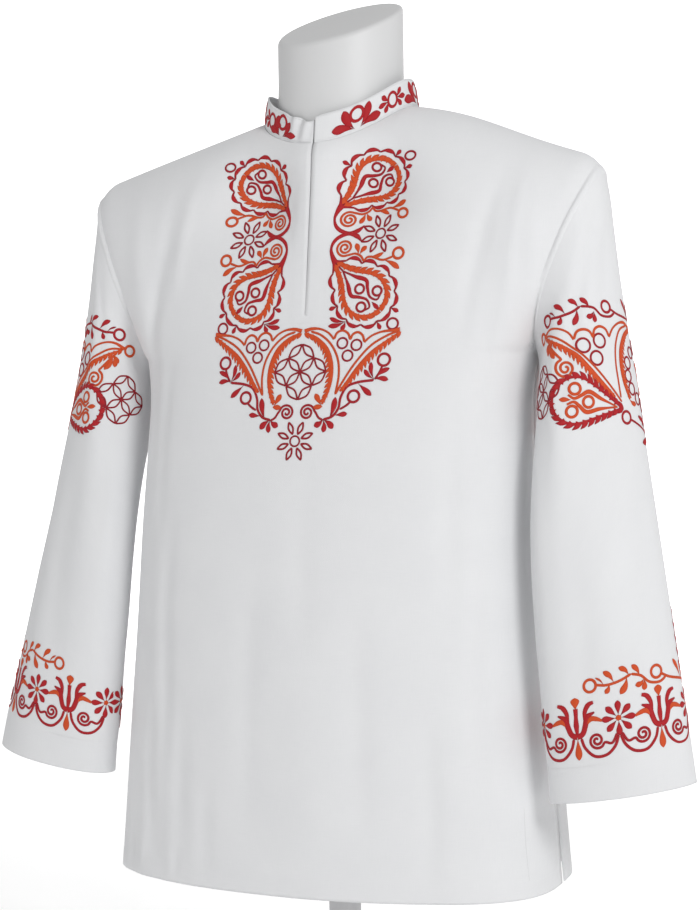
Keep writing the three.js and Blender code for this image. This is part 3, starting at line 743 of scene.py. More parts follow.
def weave_group():
    """Threads over and under: height = sin(x / pitch) * sin(y / pitch), with slubs from stretched noise."""
    group, given, result = node_group(
        "plain_weave",
        [("Pitch", "NodeSocketFloat", 0.5), ("Light", "NodeSocketColor", WHITE_START),
         ("Shade", "NodeSocketColor", GREY_START)],
    )
    flat = add(group, "ShaderNodeUVMap", uv_map="flat").outputs[0]
    split = add(group, "ShaderNodeSeparateXYZ", {0: flat})
    turns = maths(group, "DIVIDE", 2 * np.pi * 100, given.outputs["Pitch"])
    x = maths(group, "SINE", maths(group, "MULTIPLY", split.outputs[0], turns))
    y = maths(group, "SINE", maths(group, "MULTIPLY", split.outputs[1], turns))
    over = maths(group, "MULTIPLY", x, y)
    warp = add(group, "ShaderNodeMapping", {0: flat, 3: (260.0, 7.0, 1.0)}).outputs[0]
    weft = add(group, "ShaderNodeMapping", {0: flat, 3: (7.0, 260.0, 1.0)}).outputs[0]
    slub = [add(group, "ShaderNodeTexNoise", {"Vector": v, "Scale": 1.0, "Detail": 2.0}).outputs[0] for v in (warp,
            weft)]
    slubs = maths(group, "ADD", slub[0], slub[1])
    height = maths(group, "ADD", maths(group, "MULTIPLY", over, 0.5), maths(group, "MULTIPLY", slubs, 0.6))
    cloud = add(group, "ShaderNodeTexNoise", {"Vector": flat, "Scale": 1.7, "Detail": 4.0}).outputs[0]
    tone = maths(group, "ADD", maths(group, "MULTIPLY", slubs, 0.45), maths(group, "MULTIPLY", cloud, 0.55))
    ramp = add(group, "ShaderNodeMapRange", {0: tone, 1: 0.35, 2: 0.95}).outputs[0]
    colour = blended(group, ramp, given.outputs["Shade"], given.outputs["Light"])
    rough = add(group, "ShaderNodeMapRange", {0: slubs, 1: 0.6, 2: 1.4, 3: 0.82, 4: 0.96}).outputs[0]
    give(group, result, height, colour, rough)
    return group


def thread_group():
    """Satin stitch: strands across the stroke, height = |sin(along / strand)|, with painted shade between the
    strands, along the stroke's edges and on thin strokes, and a random tone towards the darker colour.
    """
    group, given, result = node_group(
        "satin_stitch",
        [("Strand", "NodeSocketFloat", 0.42), ("Thread", "NodeSocketColor", (1, 0, 0, 1)),
         ("Edge", "NodeSocketColor", (0.3, 0, 0, 1))],
    )
    flat = add(group, "ShaderNodeUVMap", uv_map="flat").outputs[0]
    split = add(group, "ShaderNodeSeparateXYZ", {0: flat})
    turns = maths(group, "DIVIDE", np.pi * 100, given.outputs["Strand"])
    wander = add(group, "ShaderNodeTexNoise", {"Vector": flat, "Scale": 90.0, "Detail": 1.0}).outputs[0]
    along = maths(group, "MULTIPLY", split.outputs[1], turns)
    along = maths(group, "ADD", along, maths(group, "MULTIPLY", wander, 1.2))
    strand = maths(group, "ABSOLUTE", maths(group, "SINE", along))
    stroke_shade = add(group, "ShaderNodeAttribute", attribute_name="thread_painted_shade").outputs["Fac"]
    tone = add(group, "ShaderNodeTexNoise", {"Vector": flat, "Scale": 22.0, "Detail": 2.0}).outputs[0]
    # Painted shade: the stroke's marked share plus the dips between strands, with random tone added to it
    dark = maths(group, "ADD", stroke_shade, maths(group, "MULTIPLY", maths(group, "SUBTRACT", 1.0, strand), 0.22))
    dark = maths(group, "ADD", dark, maths(group, "MULTIPLY", maths(group, "SUBTRACT", tone, 0.5), 0.25))
    colour = blended(group, dark, given.outputs["Thread"], given.outputs["Edge"])
    rough = add(group, "ShaderNodeMapRange", {0: strand, 3: 0.62, 4: 0.45}).outputs[0]
    give(group, result, strand, colour, rough)
    return group


def grain_group():
    """Fine orange-peel grain of a sprayed or moulded surface, in metres from the object's origin."""
    group, given, result = node_group(
        "fine_grain",
        [("Scale", "NodeSocketFloat", 400.0), ("Light", "NodeSocketColor", WHITE_START),
         ("Shade", "NodeSocketColor", GREY_START)],
    )
    place = add(group, "ShaderNodeTexCoord").outputs["Object"]
    fine = {"Vector": place, "Scale": given.outputs["Scale"], "Detail": 3.0}
    peel = add(group, "ShaderNodeTexNoise", fine).outputs[0]
    cloud = add(group, "ShaderNodeTexNoise", {"Vector": place, "Scale": 9.0, "Detail": 4.0}).outputs[0]
    colour = blended(group, cloud, given.outputs["Shade"], given.outputs["Light"])
    rough = add(group, "ShaderNodeMapRange", {0: cloud, 3: 0.42, 4: 0.55}).outputs[0]
    give(group, result, peel, colour, rough)
    return group


def finish(name, group, values, bump, **sockets):
    """A Principled material fed by a group's colour, roughness and height."""
    material = bpy.data.materials.new(name)
    material.use_nodes = True
    tree = material.node_tree
    shader = tree.nodes["Principled BSDF"]
    effect = add(tree, "ShaderNodeGroup", node_tree=group)
    for key, value in values.items():
        effect.inputs[key].default_value = value
    relief = add(tree, "ShaderNodeBump",
                 {"Height": effect.outputs["Height"], "Strength": bump, "Distance": RELIEF_DEPTH})
    tree.links.new(effect.outputs["Color"], shader.inputs["Base Color"])
    tree.links.new(effect.outputs["Roughness"], shader.inputs["Roughness"])
    tree.links.new(relief.outputs[0], shader.inputs["Normal"])
    for key, value in sockets.items():
        shader.inputs[key.replace("_", " ")].default_value = value
    return material


# %% Materials
weave, satin, grain = weave_group(), thread_group(), grain_group()
linen = finish("linen", weave, {"Light": (0.79, 0.795, 0.805, 1), "Shade": (0.73, 0.735, 0.75, 1)}, 0.35,
               Sheen_Weight=0.15)
# The second colour of each thread is its painted shade, which its random tone also moves towards
white_thread = finish("white_thread", satin,
                      {"Strand": 0.5, "Thread": (0.8, 0.8, 0.81, 1), "Edge": (0.7, 0.7, 0.71, 1)}, 0.3)
red_thread = finish("red_thread", satin, {"Thread": (0.46, 0.008, 0.013, 1), "Edge": (0.12, 0.01, 0.022, 1)}, 0.5,
                    Specular_IOR_Level=0.3)
orange_thread = finish("orange_thread", satin, {"Thread": (0.66, 0.075, 0.012, 1), "Edge": (0.3, 0.05, 0.02, 1)},
                       0.5, Specular_IOR_Level=0.3)
shell = finish("shell", grain, {"Light": (0.68, 0.682, 0.685, 1), "Shade": (0.65, 0.652, 0.655, 1)}, 0.1)
powder_coat = finish("powder_coat", grain,
                     {"Scale": 900.0, "Light": (0.66, 0.66, 0.67, 1), "Shade": (0.6, 0.6, 0.61, 1)}, 0.25)

# %% [markdown]
# ## Putting it together
# Every piece rides on the one body and stands for its imported solid.

# %% Rides and materials
def settle(piece, material, slot, *nodes):
    """Gives a piece its material and lets it stand for the nodes; slot is not used."""
    piece.data.materials.append(material)
    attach(piece, "root")
    if nodes:
        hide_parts(*nodes)


settle(front, linen, "shirt_cloth", "front")
settle(back, linen, "shirt_cloth", "back")
settle(sleeves[1], linen, "shirt_cloth", "sleeve_left")
settle(sleeves[-1], linen, "shirt_cloth", "sleeve_right")
settle(collar, linen, "shirt_cloth", "collar_band")
for extra in (underlap, *seams.values()):
    settle(extra, linen, "shirt_cloth")
settle(form, shell, "form_shell", "dress_form")
settle(pole, powder_coat, "stand_paint", "stand_pole")
settle(base, powder_coat, "stand_paint", "stand_base")


# %% [markdown]
# ## Embroidery
# The pattern is worked in satin stitch and stem stitch in two threads. Every mark is one stroke: a line with a
# width at each place, laid on the cloth as a low rounded ridge, as padded stitches lie. The motifs (leaf, ring,
# spiral, drop, heart, flower, tulip) are drawn in flat sizes on the cloth and are the same on both sides.

# %% Strokes
RED, ORANGE, WHITE = "red", "orange", "white"
STROKE_STEP = 1.3
THREAD_FULL = 1.45  # worked lines spread a little wider than they are drawn


def smooth_line(points, closed=False, step=STROKE_STEP):
    """Points every `step` mm along the smooth curve through the given ones (Catmull-Rom, by chord length)."""
    p = np.asarray(points, float)
    if len(p) == 2:
        n = max(int(np.hypot(*(p[1] - p[0])) / step), 3)
        return p[0] + (p[1] - p[0]) * np.linspace(0, 1, n + 1)[:, None]
    if closed:
        p = np.vstack([p[-2:], p, p[:3]])
    at = np.r_[0, np.cumsum(np.hypot(*np.diff(p, axis=0).T) ** 0.5)]
    first, last = (at[2], at[-3]) if closed else (0, at[-1])
    fine = curve_through(at, p, np.linspace(first, last, 40 * len(p)))
    gone = np.r_[0, np.cumsum(np.hypot(*np.diff(fine, axis=0).T))]
    n = max(int(gone[-1] / step), 5)
    even = np.linspace(0, gone[-1], n + 1)
    return np.stack([np.interp(even, gone, fine[:, k]) for k in range(2)], -1)


def line(points, width=1.5, colour=RED, closed=False, taper=0.6):
    """A stem-stitch line of even width, with short rounded ends."""
    path = smooth_line(points, closed)
    share = np.linspace(0, 1, len(path))
    length = np.hypot(*np.diff(path, axis=0).T).sum()
    ends = 1 if closed else np.clip(np.minimum(share, 1 - share) * length / taper, 0.15, 1) ** 0.5
    return [(path, THREAD_FULL * width * ends * np.ones(len(path)), colour, closed)]


def swelling(points, widths, colour=RED):
    """A satin-stitch line whose width runs through the given widths along it."""
    path = smooth_line(points)
    drawn = np.interp(np.linspace(0, 1, len(path)), np.linspace(0, 1, len(widths)), widths)
    return [(path, drawn + 0.6, colour, False)]


def petal(start, end, width, colour=RED, bend=0.0, full=1.0):
    """A filled leaf: width * sin(pi t^full)^0.7; full above 1 puts the belly towards its end."""
    a, b = np.asarray(start, float), np.asarray(end, float)
    middle = (a + b) / 2 + bend * np.array([a[1] - b[1], b[0] - a[0]])
    path = smooth_line([a, middle, b], step=0.9)
    t = np.linspace(0, 1, len(path))
    return [(path, np.maximum(1.12 * width * np.sin(np.pi * t**full) ** 0.7, 0.3), colour, False)]


def bud(start, end, width, colour=RED, bend=0.0):
    """A drop on a stalk: narrow where it starts, round at its end."""
    return petal(start, end, width, colour, bend, 1.9)


def ring(centre, radius, width=1.5, colour=RED, tall=1.0):
    """A closed ring."""
    a = np.linspace(0, 2 * np.pi, 17)[:-1]
    return line(np.stack([centre[0] + radius * np.cos(a), centre[1] + tall * radius * np.sin(a)], -1), width, colour,
                True)


def spiral(centre, radius, turns, start, colour=RED, width=1.5, hand=1, lead=()):
    """A spiral from its outer end, at angle `start`, to its middle; `lead` points come before it."""
    t = np.linspace(0, 1, int(12 * turns))
    a = start + hand * 2 * np.pi * turns * t
    r = radius * (1 - 0.86 * t)
    return line([*lead, *np.stack([centre[0] + r * np.cos(a), centre[1] + r * np.sin(a)], -1)], width, colour)


def open_petal(start, end, width, colour=RED, thread=1.3):
    """The outline of a pointed petal."""
    a, b = np.asarray(start, float), np.asarray(end, float)
    aside = np.array([a[1] - b[1], b[0] - a[0]]) / np.hypot(*(b - a)) * width / 2
    middle = (a + b) / 2
    return line([a, middle + aside, b], thread, colour) + line([a, middle - aside, b], thread, colour)


def star_flower(centre, colour=RED, reach=19.5, eye=4.8, gap=6.6, width=4.6, turn=0.39):
    """Eight open petals round a ring."""
    strokes = ring(centre, eye, 1.2, colour)
    for k in range(8):
        d = np.array([np.cos(turn + k * np.pi / 4), np.sin(turn + k * np.pi / 4)])
        strokes += open_petal(centre + gap * d, centre + reach * d, width, colour)
    return strokes


def heart(tip, way, size, colour=RED):
    """Two filled lobes that meet at a tip, with a thin gap between: each is a bud leaning to one side."""
    d = np.array([np.cos(way), np.sin(way)])
    n = np.array([-d[1], d[0]])
    tip, strokes = np.asarray(tip, float), []
    for k in (-1, 1):
        strokes += bud(tip, tip + size * (d + k * 0.5 * n), size * 0.39, colour, -0.08 * k)
    return strokes


def drop_outline(tip, centre, radius, pull=0.0):
    """Outline of a drop: straight sides from the tip to a round end; pull moves the tip towards the centre."""
    tip, centre = np.asarray(tip, float), np.asarray(centre, float)
    tip = tip + (centre - tip) * pull
    away = centre - tip
    far = np.hypot(*away)
    way, beta = np.arctan2(away[1], away[0]), np.pi - np.arccos(min(radius / far, 0.99))
    a = np.linspace(-beta, beta, 15)
    arc = centre + radius * np.stack([np.cos(way + a), np.sin(way + a)], -1)
    return np.vstack([tip, tip + (arc[0] - tip) * 0.5, arc, tip + (arc[-1] - tip) * 0.5, tip])


def saw_edge(path, depth, pitch, colour, side=1, lean=0.9):
    """Small pointed stitches along one side of a line, leaning forward."""
    path = smooth_line(path, step=0.8)
    gone = np.r_[0, np.cumsum(np.hypot(*np.diff(path, axis=0).T))]
    strokes = []
    count = max(int(gone[-1] / pitch), 2)
    for k in range(count):
        at = (k + 0.35) * gone[-1] / count
        here = np.array([np.interp(at, gone, path[:, i]) for i in range(2)])
        ahead = np.array([np.interp(min(at + 1.5, gone[-1]), gone, path[:, i]) for i in range(2)]) - here
        ahead /= max(np.hypot(*ahead), 1e-6)
        out = side * np.array([-ahead[1], ahead[0]])
        size = depth * np.sin(np.pi * np.clip((k + 0.7) / count, 0.12, 0.9)) ** 0.5
        tooth = np.array([here - 0.25 * size * out - 0.3 * pitch * ahead, here + 0.4 * size * out,
                          here + size * out + lean * pitch * ahead])
        strokes += swelling(tooth, [0.9 * pitch, 0.62 * pitch, 0.0], colour)
    return strokes


def half_moons(knots, depth, colour=RED, thick=3.4):
    """Scallops between knots: each is a bowed stroke, thick in its middle, to the right of the way along."""
    strokes = []
    for a, b in zip(knots[:-1], knots[1:]):
        way = b - a
        out = depth * np.array([way[1], -way[0]]) / np.hypot(*way)
        strokes += swelling([a, a + way * 0.2 + 0.72 * out, a + way * 0.5 + out, a + way * 0.8 + 0.72 * out, b],
                            [1.0, 1.5, thick, thick, 1.5, 1.0], colour)
    return strokes


def moved(strokes, centre=(0.0, 0.0), flip_x=False, flip_y=False):
    """Strokes mirrored about a centre."""
    sign, centre = np.array([-1.0 if flip_x else 1.0, -1.0 if flip_y else 1.0]), np.asarray(centre, float)
    return [((path - centre) * sign + centre, width, colour, closed) for path, width, colour, closed in strokes]


# %% [markdown]
# The front bands: on each side of the slit, a scalloped drop below, the same one above, and between them two
# C-shaped stems with spirals, sprigs and an open flower. They are drawn once, by x and the distance from the
# band's middle; the upper ones lean with the cloth, which turns back towards the shoulder. Each drop is a
# circle with two sides drawn to a tip, its scallops meet on a larger circle, and the stem is most of an ellipse.

# %% Front bands
BAND_MIDDLE = 874
DROP_REACH, DROP_END, DROP_WAIST = 45, 21, 2.3  # tip to the round end's middle, that end's radius, the sides' bow
SCALLOP_END, SCALLOP_STEP = 28.5, 16  # radius of the scallops' circle, and their pitch along the sides
SCALLOP_TURNS = np.radians([18, 50, 82, 114])  # where scallops meet round the end, from the drop's axis
SCALLOP_SLOPE = np.radians(33)
DROP_CURL = [(12, 0), (25, 5), (36, 10), (42, 6), (50, 2), (57, 5), (56, 10)]  # along and aside: out, back, out
STEM_MIDDLE, STEM_WIDE, STEM_TALL = np.array([38, 15]), 15, 14.3
WAVE_MIDDLE, WAVE_RISE, WAVE_LENGTH = 25.3, 1.8, 26
SHOULDER_LEAN = 11  # millimetres outward at 100 mm above the middle, growing as the cube
OUTER_LOSS, RISE_LOSS = 0.002, 0.0006  # share of height lost for each millimetre outward, and for each upward
DROP_TIP = np.array([28, 28])


def aligned(tip, centre):
    """Maps (along, aside) from a tip towards a centre to the plane."""
    tip = np.asarray(tip, float)
    d = (np.asarray(centre, float) - tip) / np.hypot(*(np.asarray(centre, float) - tip))
    return lambda along, aside=0.0: tip + along * d + aside * np.array([-d[1], d[0]])


def drop_side():
    """Half a drop: a side from its tip that touches the round end, bowed in by sin(pi t), then the end's arc."""
    lean = np.arcsin(DROP_END / DROP_REACH)
    touch = DROP_REACH * np.cos(lean) ** 2
    t = np.array([0.08, 0.3, 0.6])
    side = np.stack([touch * t, touch * np.tan(lean) * t - DROP_WAIST * np.sin(np.pi * t)], -1)
    a = np.linspace(np.pi / 2 + lean, 0, 5)
    return np.vstack([side, np.stack([DROP_REACH + DROP_END * np.cos(a), DROP_END * np.sin(a)], -1)])


def scallop_knots():
    """Where half-moons meet, from the tip: two along a straight side, then four on a circle round the end."""
    away = np.stack([np.cos(SCALLOP_TURNS), np.sin(SCALLOP_TURNS)], -1)
    knots = [DROP_REACH, 0] + SCALLOP_END * away
    step = SCALLOP_STEP * np.array([np.cos(SCALLOP_SLOPE), np.sin(SCALLOP_SLOPE)])
    return np.vstack([knots[-1] - 2 * step, knots[-1] - step, knots[::-1]])


def drop_motif(tip, centre, band, inner):
    """A drop: half-moons outside, a saw-edged band, inside a curled heart, three rings and a leaf, buds outside."""
    at, knots = aligned(tip, centre), scallop_knots()
    around = [at(u, -v) for u, v in knots] + [at(u, v) for u, v in knots[::-1]]
    strokes = half_moons(around, 4.0, band)
    for k in (-1, 1):
        strokes += swelling([at(-1), at(3, k * 4.4), at(*(knots[0] * [1, k]))], [3.6, 1.8, 1.2], band)
        half = [at(u, k * v) for u, v in drop_side()]
        strokes += swelling(half, [1.2, 2.8, 3.0, 3.2, 3.2, 3.0, 2.6], inner) + saw_edge(half, 5.2, 6.0, inner, k,
                0.7)
        strokes += swelling([at(u, k * v) for u, v in DROP_CURL], [1.0, 1.6, 3.7, 3.0, 2.1, 1.5, 1.0], band)
        strokes += ring(at(51, k * 10.6), 4.4, 1.6, band)
    strokes += ring(at(37), 4.4, 1.6, band) + petal(at(55), at(65), 3.8, band, full=1.4)
    # buds stand on the two last knots and on the first one of the round end's outer side, with a ring between them
    for turn in (-SCALLOP_TURNS[0], SCALLOP_TURNS[0], SCALLOP_TURNS[-1]):
        foot, head = SCALLOP_END, SCALLOP_END + 9
        strokes += bud(at(DROP_REACH + foot * np.cos(turn), foot * np.sin(turn)),
                       at(DROP_REACH + head * np.cos(turn), head * np.sin(turn)), 3.8)
    return strokes + ring(at(DROP_REACH + 40), 5.2, 1.4) + line([at(0), at(13)], 1.2, band)


def sprig(base, tips, widths, colour):
    """Leaves that spread from one base."""
    strokes = []
    for end, width in zip(tips, widths):
        strokes += bud(base, end, width, colour, 0.08)
    return strokes


def band_half():
    """Half a band by x and distance from the band's middle: drop, C-shaped stem, spiral, wave and spray."""
    strokes = drop_motif(DROP_TIP, DROP_TIP + 32, RED, ORANGE)
    # the stem is most of an ellipse: thick at the drop's tip, thin beside the spiral, meeting its twin on the middle
    turns = np.radians(np.arange(150, 331, 30))
    stem = STEM_MIDDLE + np.stack([STEM_WIDE * np.cos(turns), STEM_TALL * np.sin(turns)], -1)
    strokes += swelling([DROP_TIP, *stem], [5.4, 3.4, 1.8, 2.8, 3.2, 2.0, 4.2, 0.8])
    strokes += spiral((36, 14), 8, 2.1, 1.7, ORANGE, 1.5, 1, lead=[(56, 28), (53, 23), (47, 20), (41, 21)])
    x = np.linspace(59, 85, 7)
    wave = np.stack([x, WAVE_MIDDLE - WAVE_RISE * np.cos(2 * np.pi * (x - 62) / WAVE_LENGTH)], -1)
    strokes += line([(56, 28), *wave], 1.5, ORANGE)
    strokes += bud((76, 27), (92, 36), 4.6, ORANGE, -0.06) + ring((90, 21), 5.2, 1.8, ORANGE)
    strokes += petal((62, 24), (75, 20), 3.6, ORANGE, 0.08, 1.3)
    return strokes + bud((50, 21), (46, 10), 4.4, ORANGE, 0.06) + bud((51, 21), (57, 13), 4.4, ORANGE, -0.06)


def lower(places):
    """Band places below the middle: z = middle - distance."""
    return np.stack([places[:, 0], BAND_MIDDLE - places[:, 1]], -1)


def upper(places):
    """Band places above it: they lean out and flatten, where the cloth turns back to the shoulder."""
    x, away = places.T
    height = away * (1 - OUTER_LOSS * (x - 30) - RISE_LOSS * away)
    return np.stack([x + SHOULDER_LEAN * (away / 100) ** 3, BAND_MIDDLE + height], -1)


def front_band():
    """The whole band on the wearer's left: two halves, the flower between, and the spray under the lower drop."""
    half = band_half()
    strokes = [(turn(path), *rest) for turn in (lower, upper) for path, *rest in half]
    strokes += star_flower(np.array([69, BAND_MIDDLE - 1]), reach=20)
    return strokes + sprig((42, 789), [(25, 785), (26, 793), (38, 781)], [4.4, 3.8, 4.2], RED)


# %% [markdown]
# The point below the slit: two feathered leaves on each side, a rosette of crossing circles between them, red
# sprigs outside, two spirals and an open flower at the tip.

# %% Front point
def feather(spine, blade, widths, colour, side):
    """Half a feathered leaf: a thin stem line, a gap and a solid blade with a saw edge."""
    slim = [0.72 * w for w in widths]
    return line(spine, 1.5, colour) + swelling(blade, slim, colour) + saw_edge(blade, 5.6, 5.0, colour, side, 0.6)


def rosette(centre, reach, tall=1.0, colour=RED):
    """Crossing circles: twelve open petals between a centre, four inner and four outer points."""
    c, half = np.asarray(centre, float), reach / 2
    strokes = []
    for sx, sy in ((1, 1), (1, -1), (-1, 1), (-1, -1)):
        inner = np.array([sx * half, sy * half])
        for start, end in ((np.zeros(2), inner), (inner, np.array([sx * reach, 0])),
                           (inner, np.array([0, sy * reach]))):
            strokes += open_petal(c + start * [1, tall], c + end * [1, tall], reach * 0.27, colour, 1.2)
    return strokes


def point_half():
    """The half of the point on the wearer's left."""
    strokes = feather([(94, 779), (84, 775), (69, 766), (55, 750), (45, 734), (37.5, 720)],
                      [(95, 777.5), (84, 769.5), (70, 758.5), (58, 744.5), (49, 732), (42, 723)], [1.6, 3.4, 5.6,
                              6.2, 5.0, 2.4], ORANGE, 1)
    strokes += feather([(8, 780.5), (18, 777), (29, 768), (37, 754), (39.5, 738), (37.5, 720)],
                       [(3, 778.5), (13, 774), (24, 764), (30.5, 749), (31.5, 733), (28.5, 719), (25, 711)], [2.6,
                               5.0, 6.6, 6.4, 5.4, 3.8, 2.0], ORANGE, -1)
    strokes += swelling([(1.5, 781), (9, 783), (18, 782.4), (26, 778.6), (32, 772.4)], [3.4, 2.4, 1.4, 1.4, 1.6],
                        ORANGE)
    strokes += line([(32, 772.4), (34.5, 778.4), (40, 780.6), (45.5, 777.6), (48, 771.6)], 1.6, ORANGE)
    strokes += line([(48, 771.6), (50.5, 776.8), (55.5, 778.6), (60, 775.4), (62, 769)], 1.6, ORANGE)
    strokes += swelling([(62, 769), (68, 774.4), (77, 778.2), (87, 779.6), (95.5, 780.4)], [1.6, 1.4, 1.4, 2.2, 3.6],
                        ORANGE)
    for place in ((40.5, 768.5), (54.5, 766.5), (46.5, 756.5)):
        strokes += ring(place, 5.0, 1.3)
    strokes += bud((24.5, 709.5), (17.5, 721), 4.8, ORANGE) + petal((25.5, 709), (16, 708), 4.4, ORANGE)
    # red sprigs outside
    strokes += line([(27, 696.5), (36, 699.5), (41.5, 707), (43, 717), (48.5, 727), (58, 731), (74, 733)], 1.7)
    strokes += ring((82, 752), 5.7, 1.7) + line([(75, 733.5), (79, 741), (81, 746)], 1.5) + ring((55.5, 718), 5.5,
            1.7) + line([(43, 706), (49, 709.5), (53, 713)], 1.5)
    strokes += sprig((73.5, 734), [(70, 750), (64, 743), (88, 744), (87.5, 733)], [4.0, 3.8, 4.2, 4.4], RED)
    strokes += bud((59, 730), (72.5, 718.5), 4.8) + bud((38, 700.5), (50.5, 701.8), 4.4)
    strokes += bud((33, 696.5), (38, 717.5), 5.2, RED, -0.05)
    strokes += sprig((27.5, 696.5), [(18.5, 690.5), (28, 684.5), (37.5, 688)], [5.4, 4.6, 5.4], RED)
    strokes += spiral((10.5, 703.5), 7.6, 2.0, 0.2, RED, 1.5, 1, lead=[(27, 696), (22.5, 698.5), (19.5, 703)])
    return strokes


def front_strokes():
    """Everything on the front, on both sides of the middle."""
    half = front_band() + point_half()
    return half + moved(half, flip_x=True) + rosette((0, 742), 26.5) + star_flower(np.array([0.0, 676.5]), turn=0.39)

# %% [markdown]
# Sleeves carry one broad motif on the upper arm and a row with a garland at the cuff, both centred on the outer
# fold. The band has hearts, rings and leaf sprigs all round.

# %% Sleeve motifs
FLOWER_PITCH = 78


def garland(height, colour, start, ring_at, rise=1.0):
    """A leafy stem from an outer ring to a ring near the fold."""
    y = height
    strokes = ring((start, y), 5.6, 1.8, colour) + ring((ring_at, y + 3), 5.6, 1.8, colour)
    strokes += line([(start - 5.6, y), (start - 15, y - 1.5), (start - 27, y + 0.5), (start - 38, y + 5)], 1.7,
                    colour)
    strokes += line([(start - 38, y + 5), (ring_at + 16, y + 2), (ring_at + 8, y - 5), (ring_at - 3, y - 6.5),
                     (ring_at - 10, y - 3)], 1.7, colour)
    strokes += line([(ring_at - 5, y + 0.5), (ring_at - 14, y - 4), (3, y - 9)], 1.7, colour)
    for base, end, w, bend in (((-13, -1.5), (-5.5, 6.5), 1.8, 0.1), ((-22, 0), (-13, 11), 4.6, 0.1),
                               ((-36, 4), (-27, 12.5), 4.4, 0.14),
                               ((-46, 2), (-39, 13), 4.4, 0.1), ((-18, -1), (-13.5, -9), 4.2, -0.1), ((-34, 3.5),
                                       (-27, -11.5), 5.4, -0.1),
                               ((-50, -1), (-41, -6), 4.6, -0.16), ((-50, -1.5), (-49, -11.5), 4.8, -0.05)):
        strokes += bud((start + base[0], y + base[1]), (start + end[0], y + end[1]), w, colour, bend * rise)
    strokes += bud((8, y - 7), (18, y + 11), 4.2, colour, 0.06) + bud((3, y - 8), (6, y + 8), 2.6, colour)
    return strokes


def upper_arm_half():
    """The half of the upper-arm motif in front of the outer fold."""
    strokes = garland(446, RED, 112, 45)
    strokes += ring((128, 434), 5.4, 1.9, ORANGE)
    strokes += feather([(121, 433), (108, 429), (92, 416), (74, 396), (60, 378), (45, 358)],
                       [(118, 431), (104, 420), (90, 408), (78, 392), (66, 377), (53, 363)], [1.8, 3.6, 5.8, 6.4,
                               5.2, 2.6], ORANGE, 1)
    strokes += swelling([(121, 434), (110, 436), (99, 433.5), (91, 428), (87, 421)], [3.4, 2.0, 1.4, 1.5, 1.8],
                        ORANGE)
    strokes += line([(87, 421), (83, 427.5), (77, 429), (71, 426.5), (68, 420)], 1.8, ORANGE)
    strokes += line([(68, 420), (65, 428), (58, 430.5), (51.5, 427.5), (49, 420)], 1.8, ORANGE)
    strokes += swelling([(49, 420), (42, 428), (32, 433), (21, 434), (11, 430)], [1.8, 1.4, 1.6, 2.6, 3.4], ORANGE)
    strokes += feather([(18, 431), (31, 427), (41, 414), (45.5, 397), (46, 379), (45.5, 362)],
                       [(12, 428), (24, 422), (34, 409), (38, 393), (37.5, 377), (33, 360)], [2.6, 5.0, 6.8, 6.6,
                               5.4, 2.4], ORANGE, -1)
    strokes += bud((33.5, 360), (23, 355), 4.6, ORANGE, 0.12)
    for place in ((79.5, 414), (61.5, 417), (68, 401)):
        strokes += ring(place, 6.6, 1.5)
    strokes += sprig((112, 424), [(117, 412), (108, 406.5), (119.5, 417)], [4.8, 5.0, 3.6], ORANGE)
    strokes += spiral((100, 395.5), 9.6, 2.0, 1.3, ORANGE, 1.7, -1, lead=[(113, 424), (107, 412), (104, 407)])
    # saw-edged drop, its tip towards the fold
    tip, middle = (46, 352), (95, 364)
    outline = drop_outline(tip, middle, 22.0)
    turn = len(outline) // 2
    strokes += line(outline, 1.6, RED)
    for half, side in ((outline[: turn + 1], -1), (outline[turn:][::-1], 1)):
        strokes += swelling(half, [1.0, 2.0, 2.2, 2.2, 2.0], RED) + saw_edge(half, 5.4, 6.6, RED, side, 0.7)
    tip, middle = np.array(tip, float), np.array(middle, float)
    d = (middle - tip) / np.hypot(*(middle - tip))
    n = np.array([-d[1], d[0]])
    for k in (-1, 1):
        curl = [tip + 6 * d, tip + 26 * d + k * 5.0 * n, tip + 39 * d + k * 9.5 * n, tip + 46 * d + k * 5.0 * n,
                tip + 52 * d + k * 1.6 * n, tip + 58 * d + k * 4.5 * n]
        strokes += swelling(curl, [1.1, 1.5, 3.2, 3.6, 2.6, 1.4], ORANGE) + ring(tip + 52.5 * d + k * 10.6 * n, 5.2,
                1.9, ORANGE)
    strokes += ring(tip + 38 * d, 5.2, 1.9, ORANGE) + petal(tip + 55 * d, tip + 66 * d, 4.2, ORANGE, full=1.4)
    for place, tall in (((6, 411), 1.4), ((17, 405), 1.1), ((27, 395), 1.15), ((29.5, 382.5), 1.15),
                        ((26.5, 370), 1.15), ((17.5, 360.5), 1.15), ((6.5, 354.5), 1.3)):
        strokes += ring(place, 5.0, 1.4, RED, tall)
    strokes += bud((3, 352), (15, 334), 2.2) + bud((4, 330), (22, 344), 4.4, RED,
                                                   0.08) + line([(3, 326), (20, 334), (36, 341)], 1.6)
    strokes += ring((41, 343), 5.8, 1.8) + petal((3, 324), (19, 318), 6.0, RED, -0.1, 1.3)
    strokes += bud((1, 381), (10, 395), 5.0, ORANGE, 0.14) + bud((1, 377), (11, 364), 4.2, ORANGE, -0.14)
    return strokes


def upper_arm():
    """The upper-arm motif: the half, its mirror image and the bud on the fold."""
    half = upper_arm_half()
    return half + rosette((134, 382), 26.5) + moved(half, flip_x=True) + bud((0, 370), (0, 399), 6.0,
            ORANGE) + bud((0, 320), (0, 340), 3.2)


def full_flower(centre):
    """Eight filled petals round an orange eye."""
    c = np.asarray(centre, float)
    strokes = []
    for k in range(8):
        a = k * np.pi / 4 + np.pi / 2
        d = np.array([np.cos(a), np.sin(a)])
        strokes += bud(c + 2.4 * d, c + 15.6 * d, 5.2)
    eye = [(c + r * np.array([np.cos(t), np.sin(t)])) for r, t in ((1.3, 0), (1.3, 2.1), (1.3, 4.2))]
    return strokes + line(eye, 2.6, ORANGE, True)


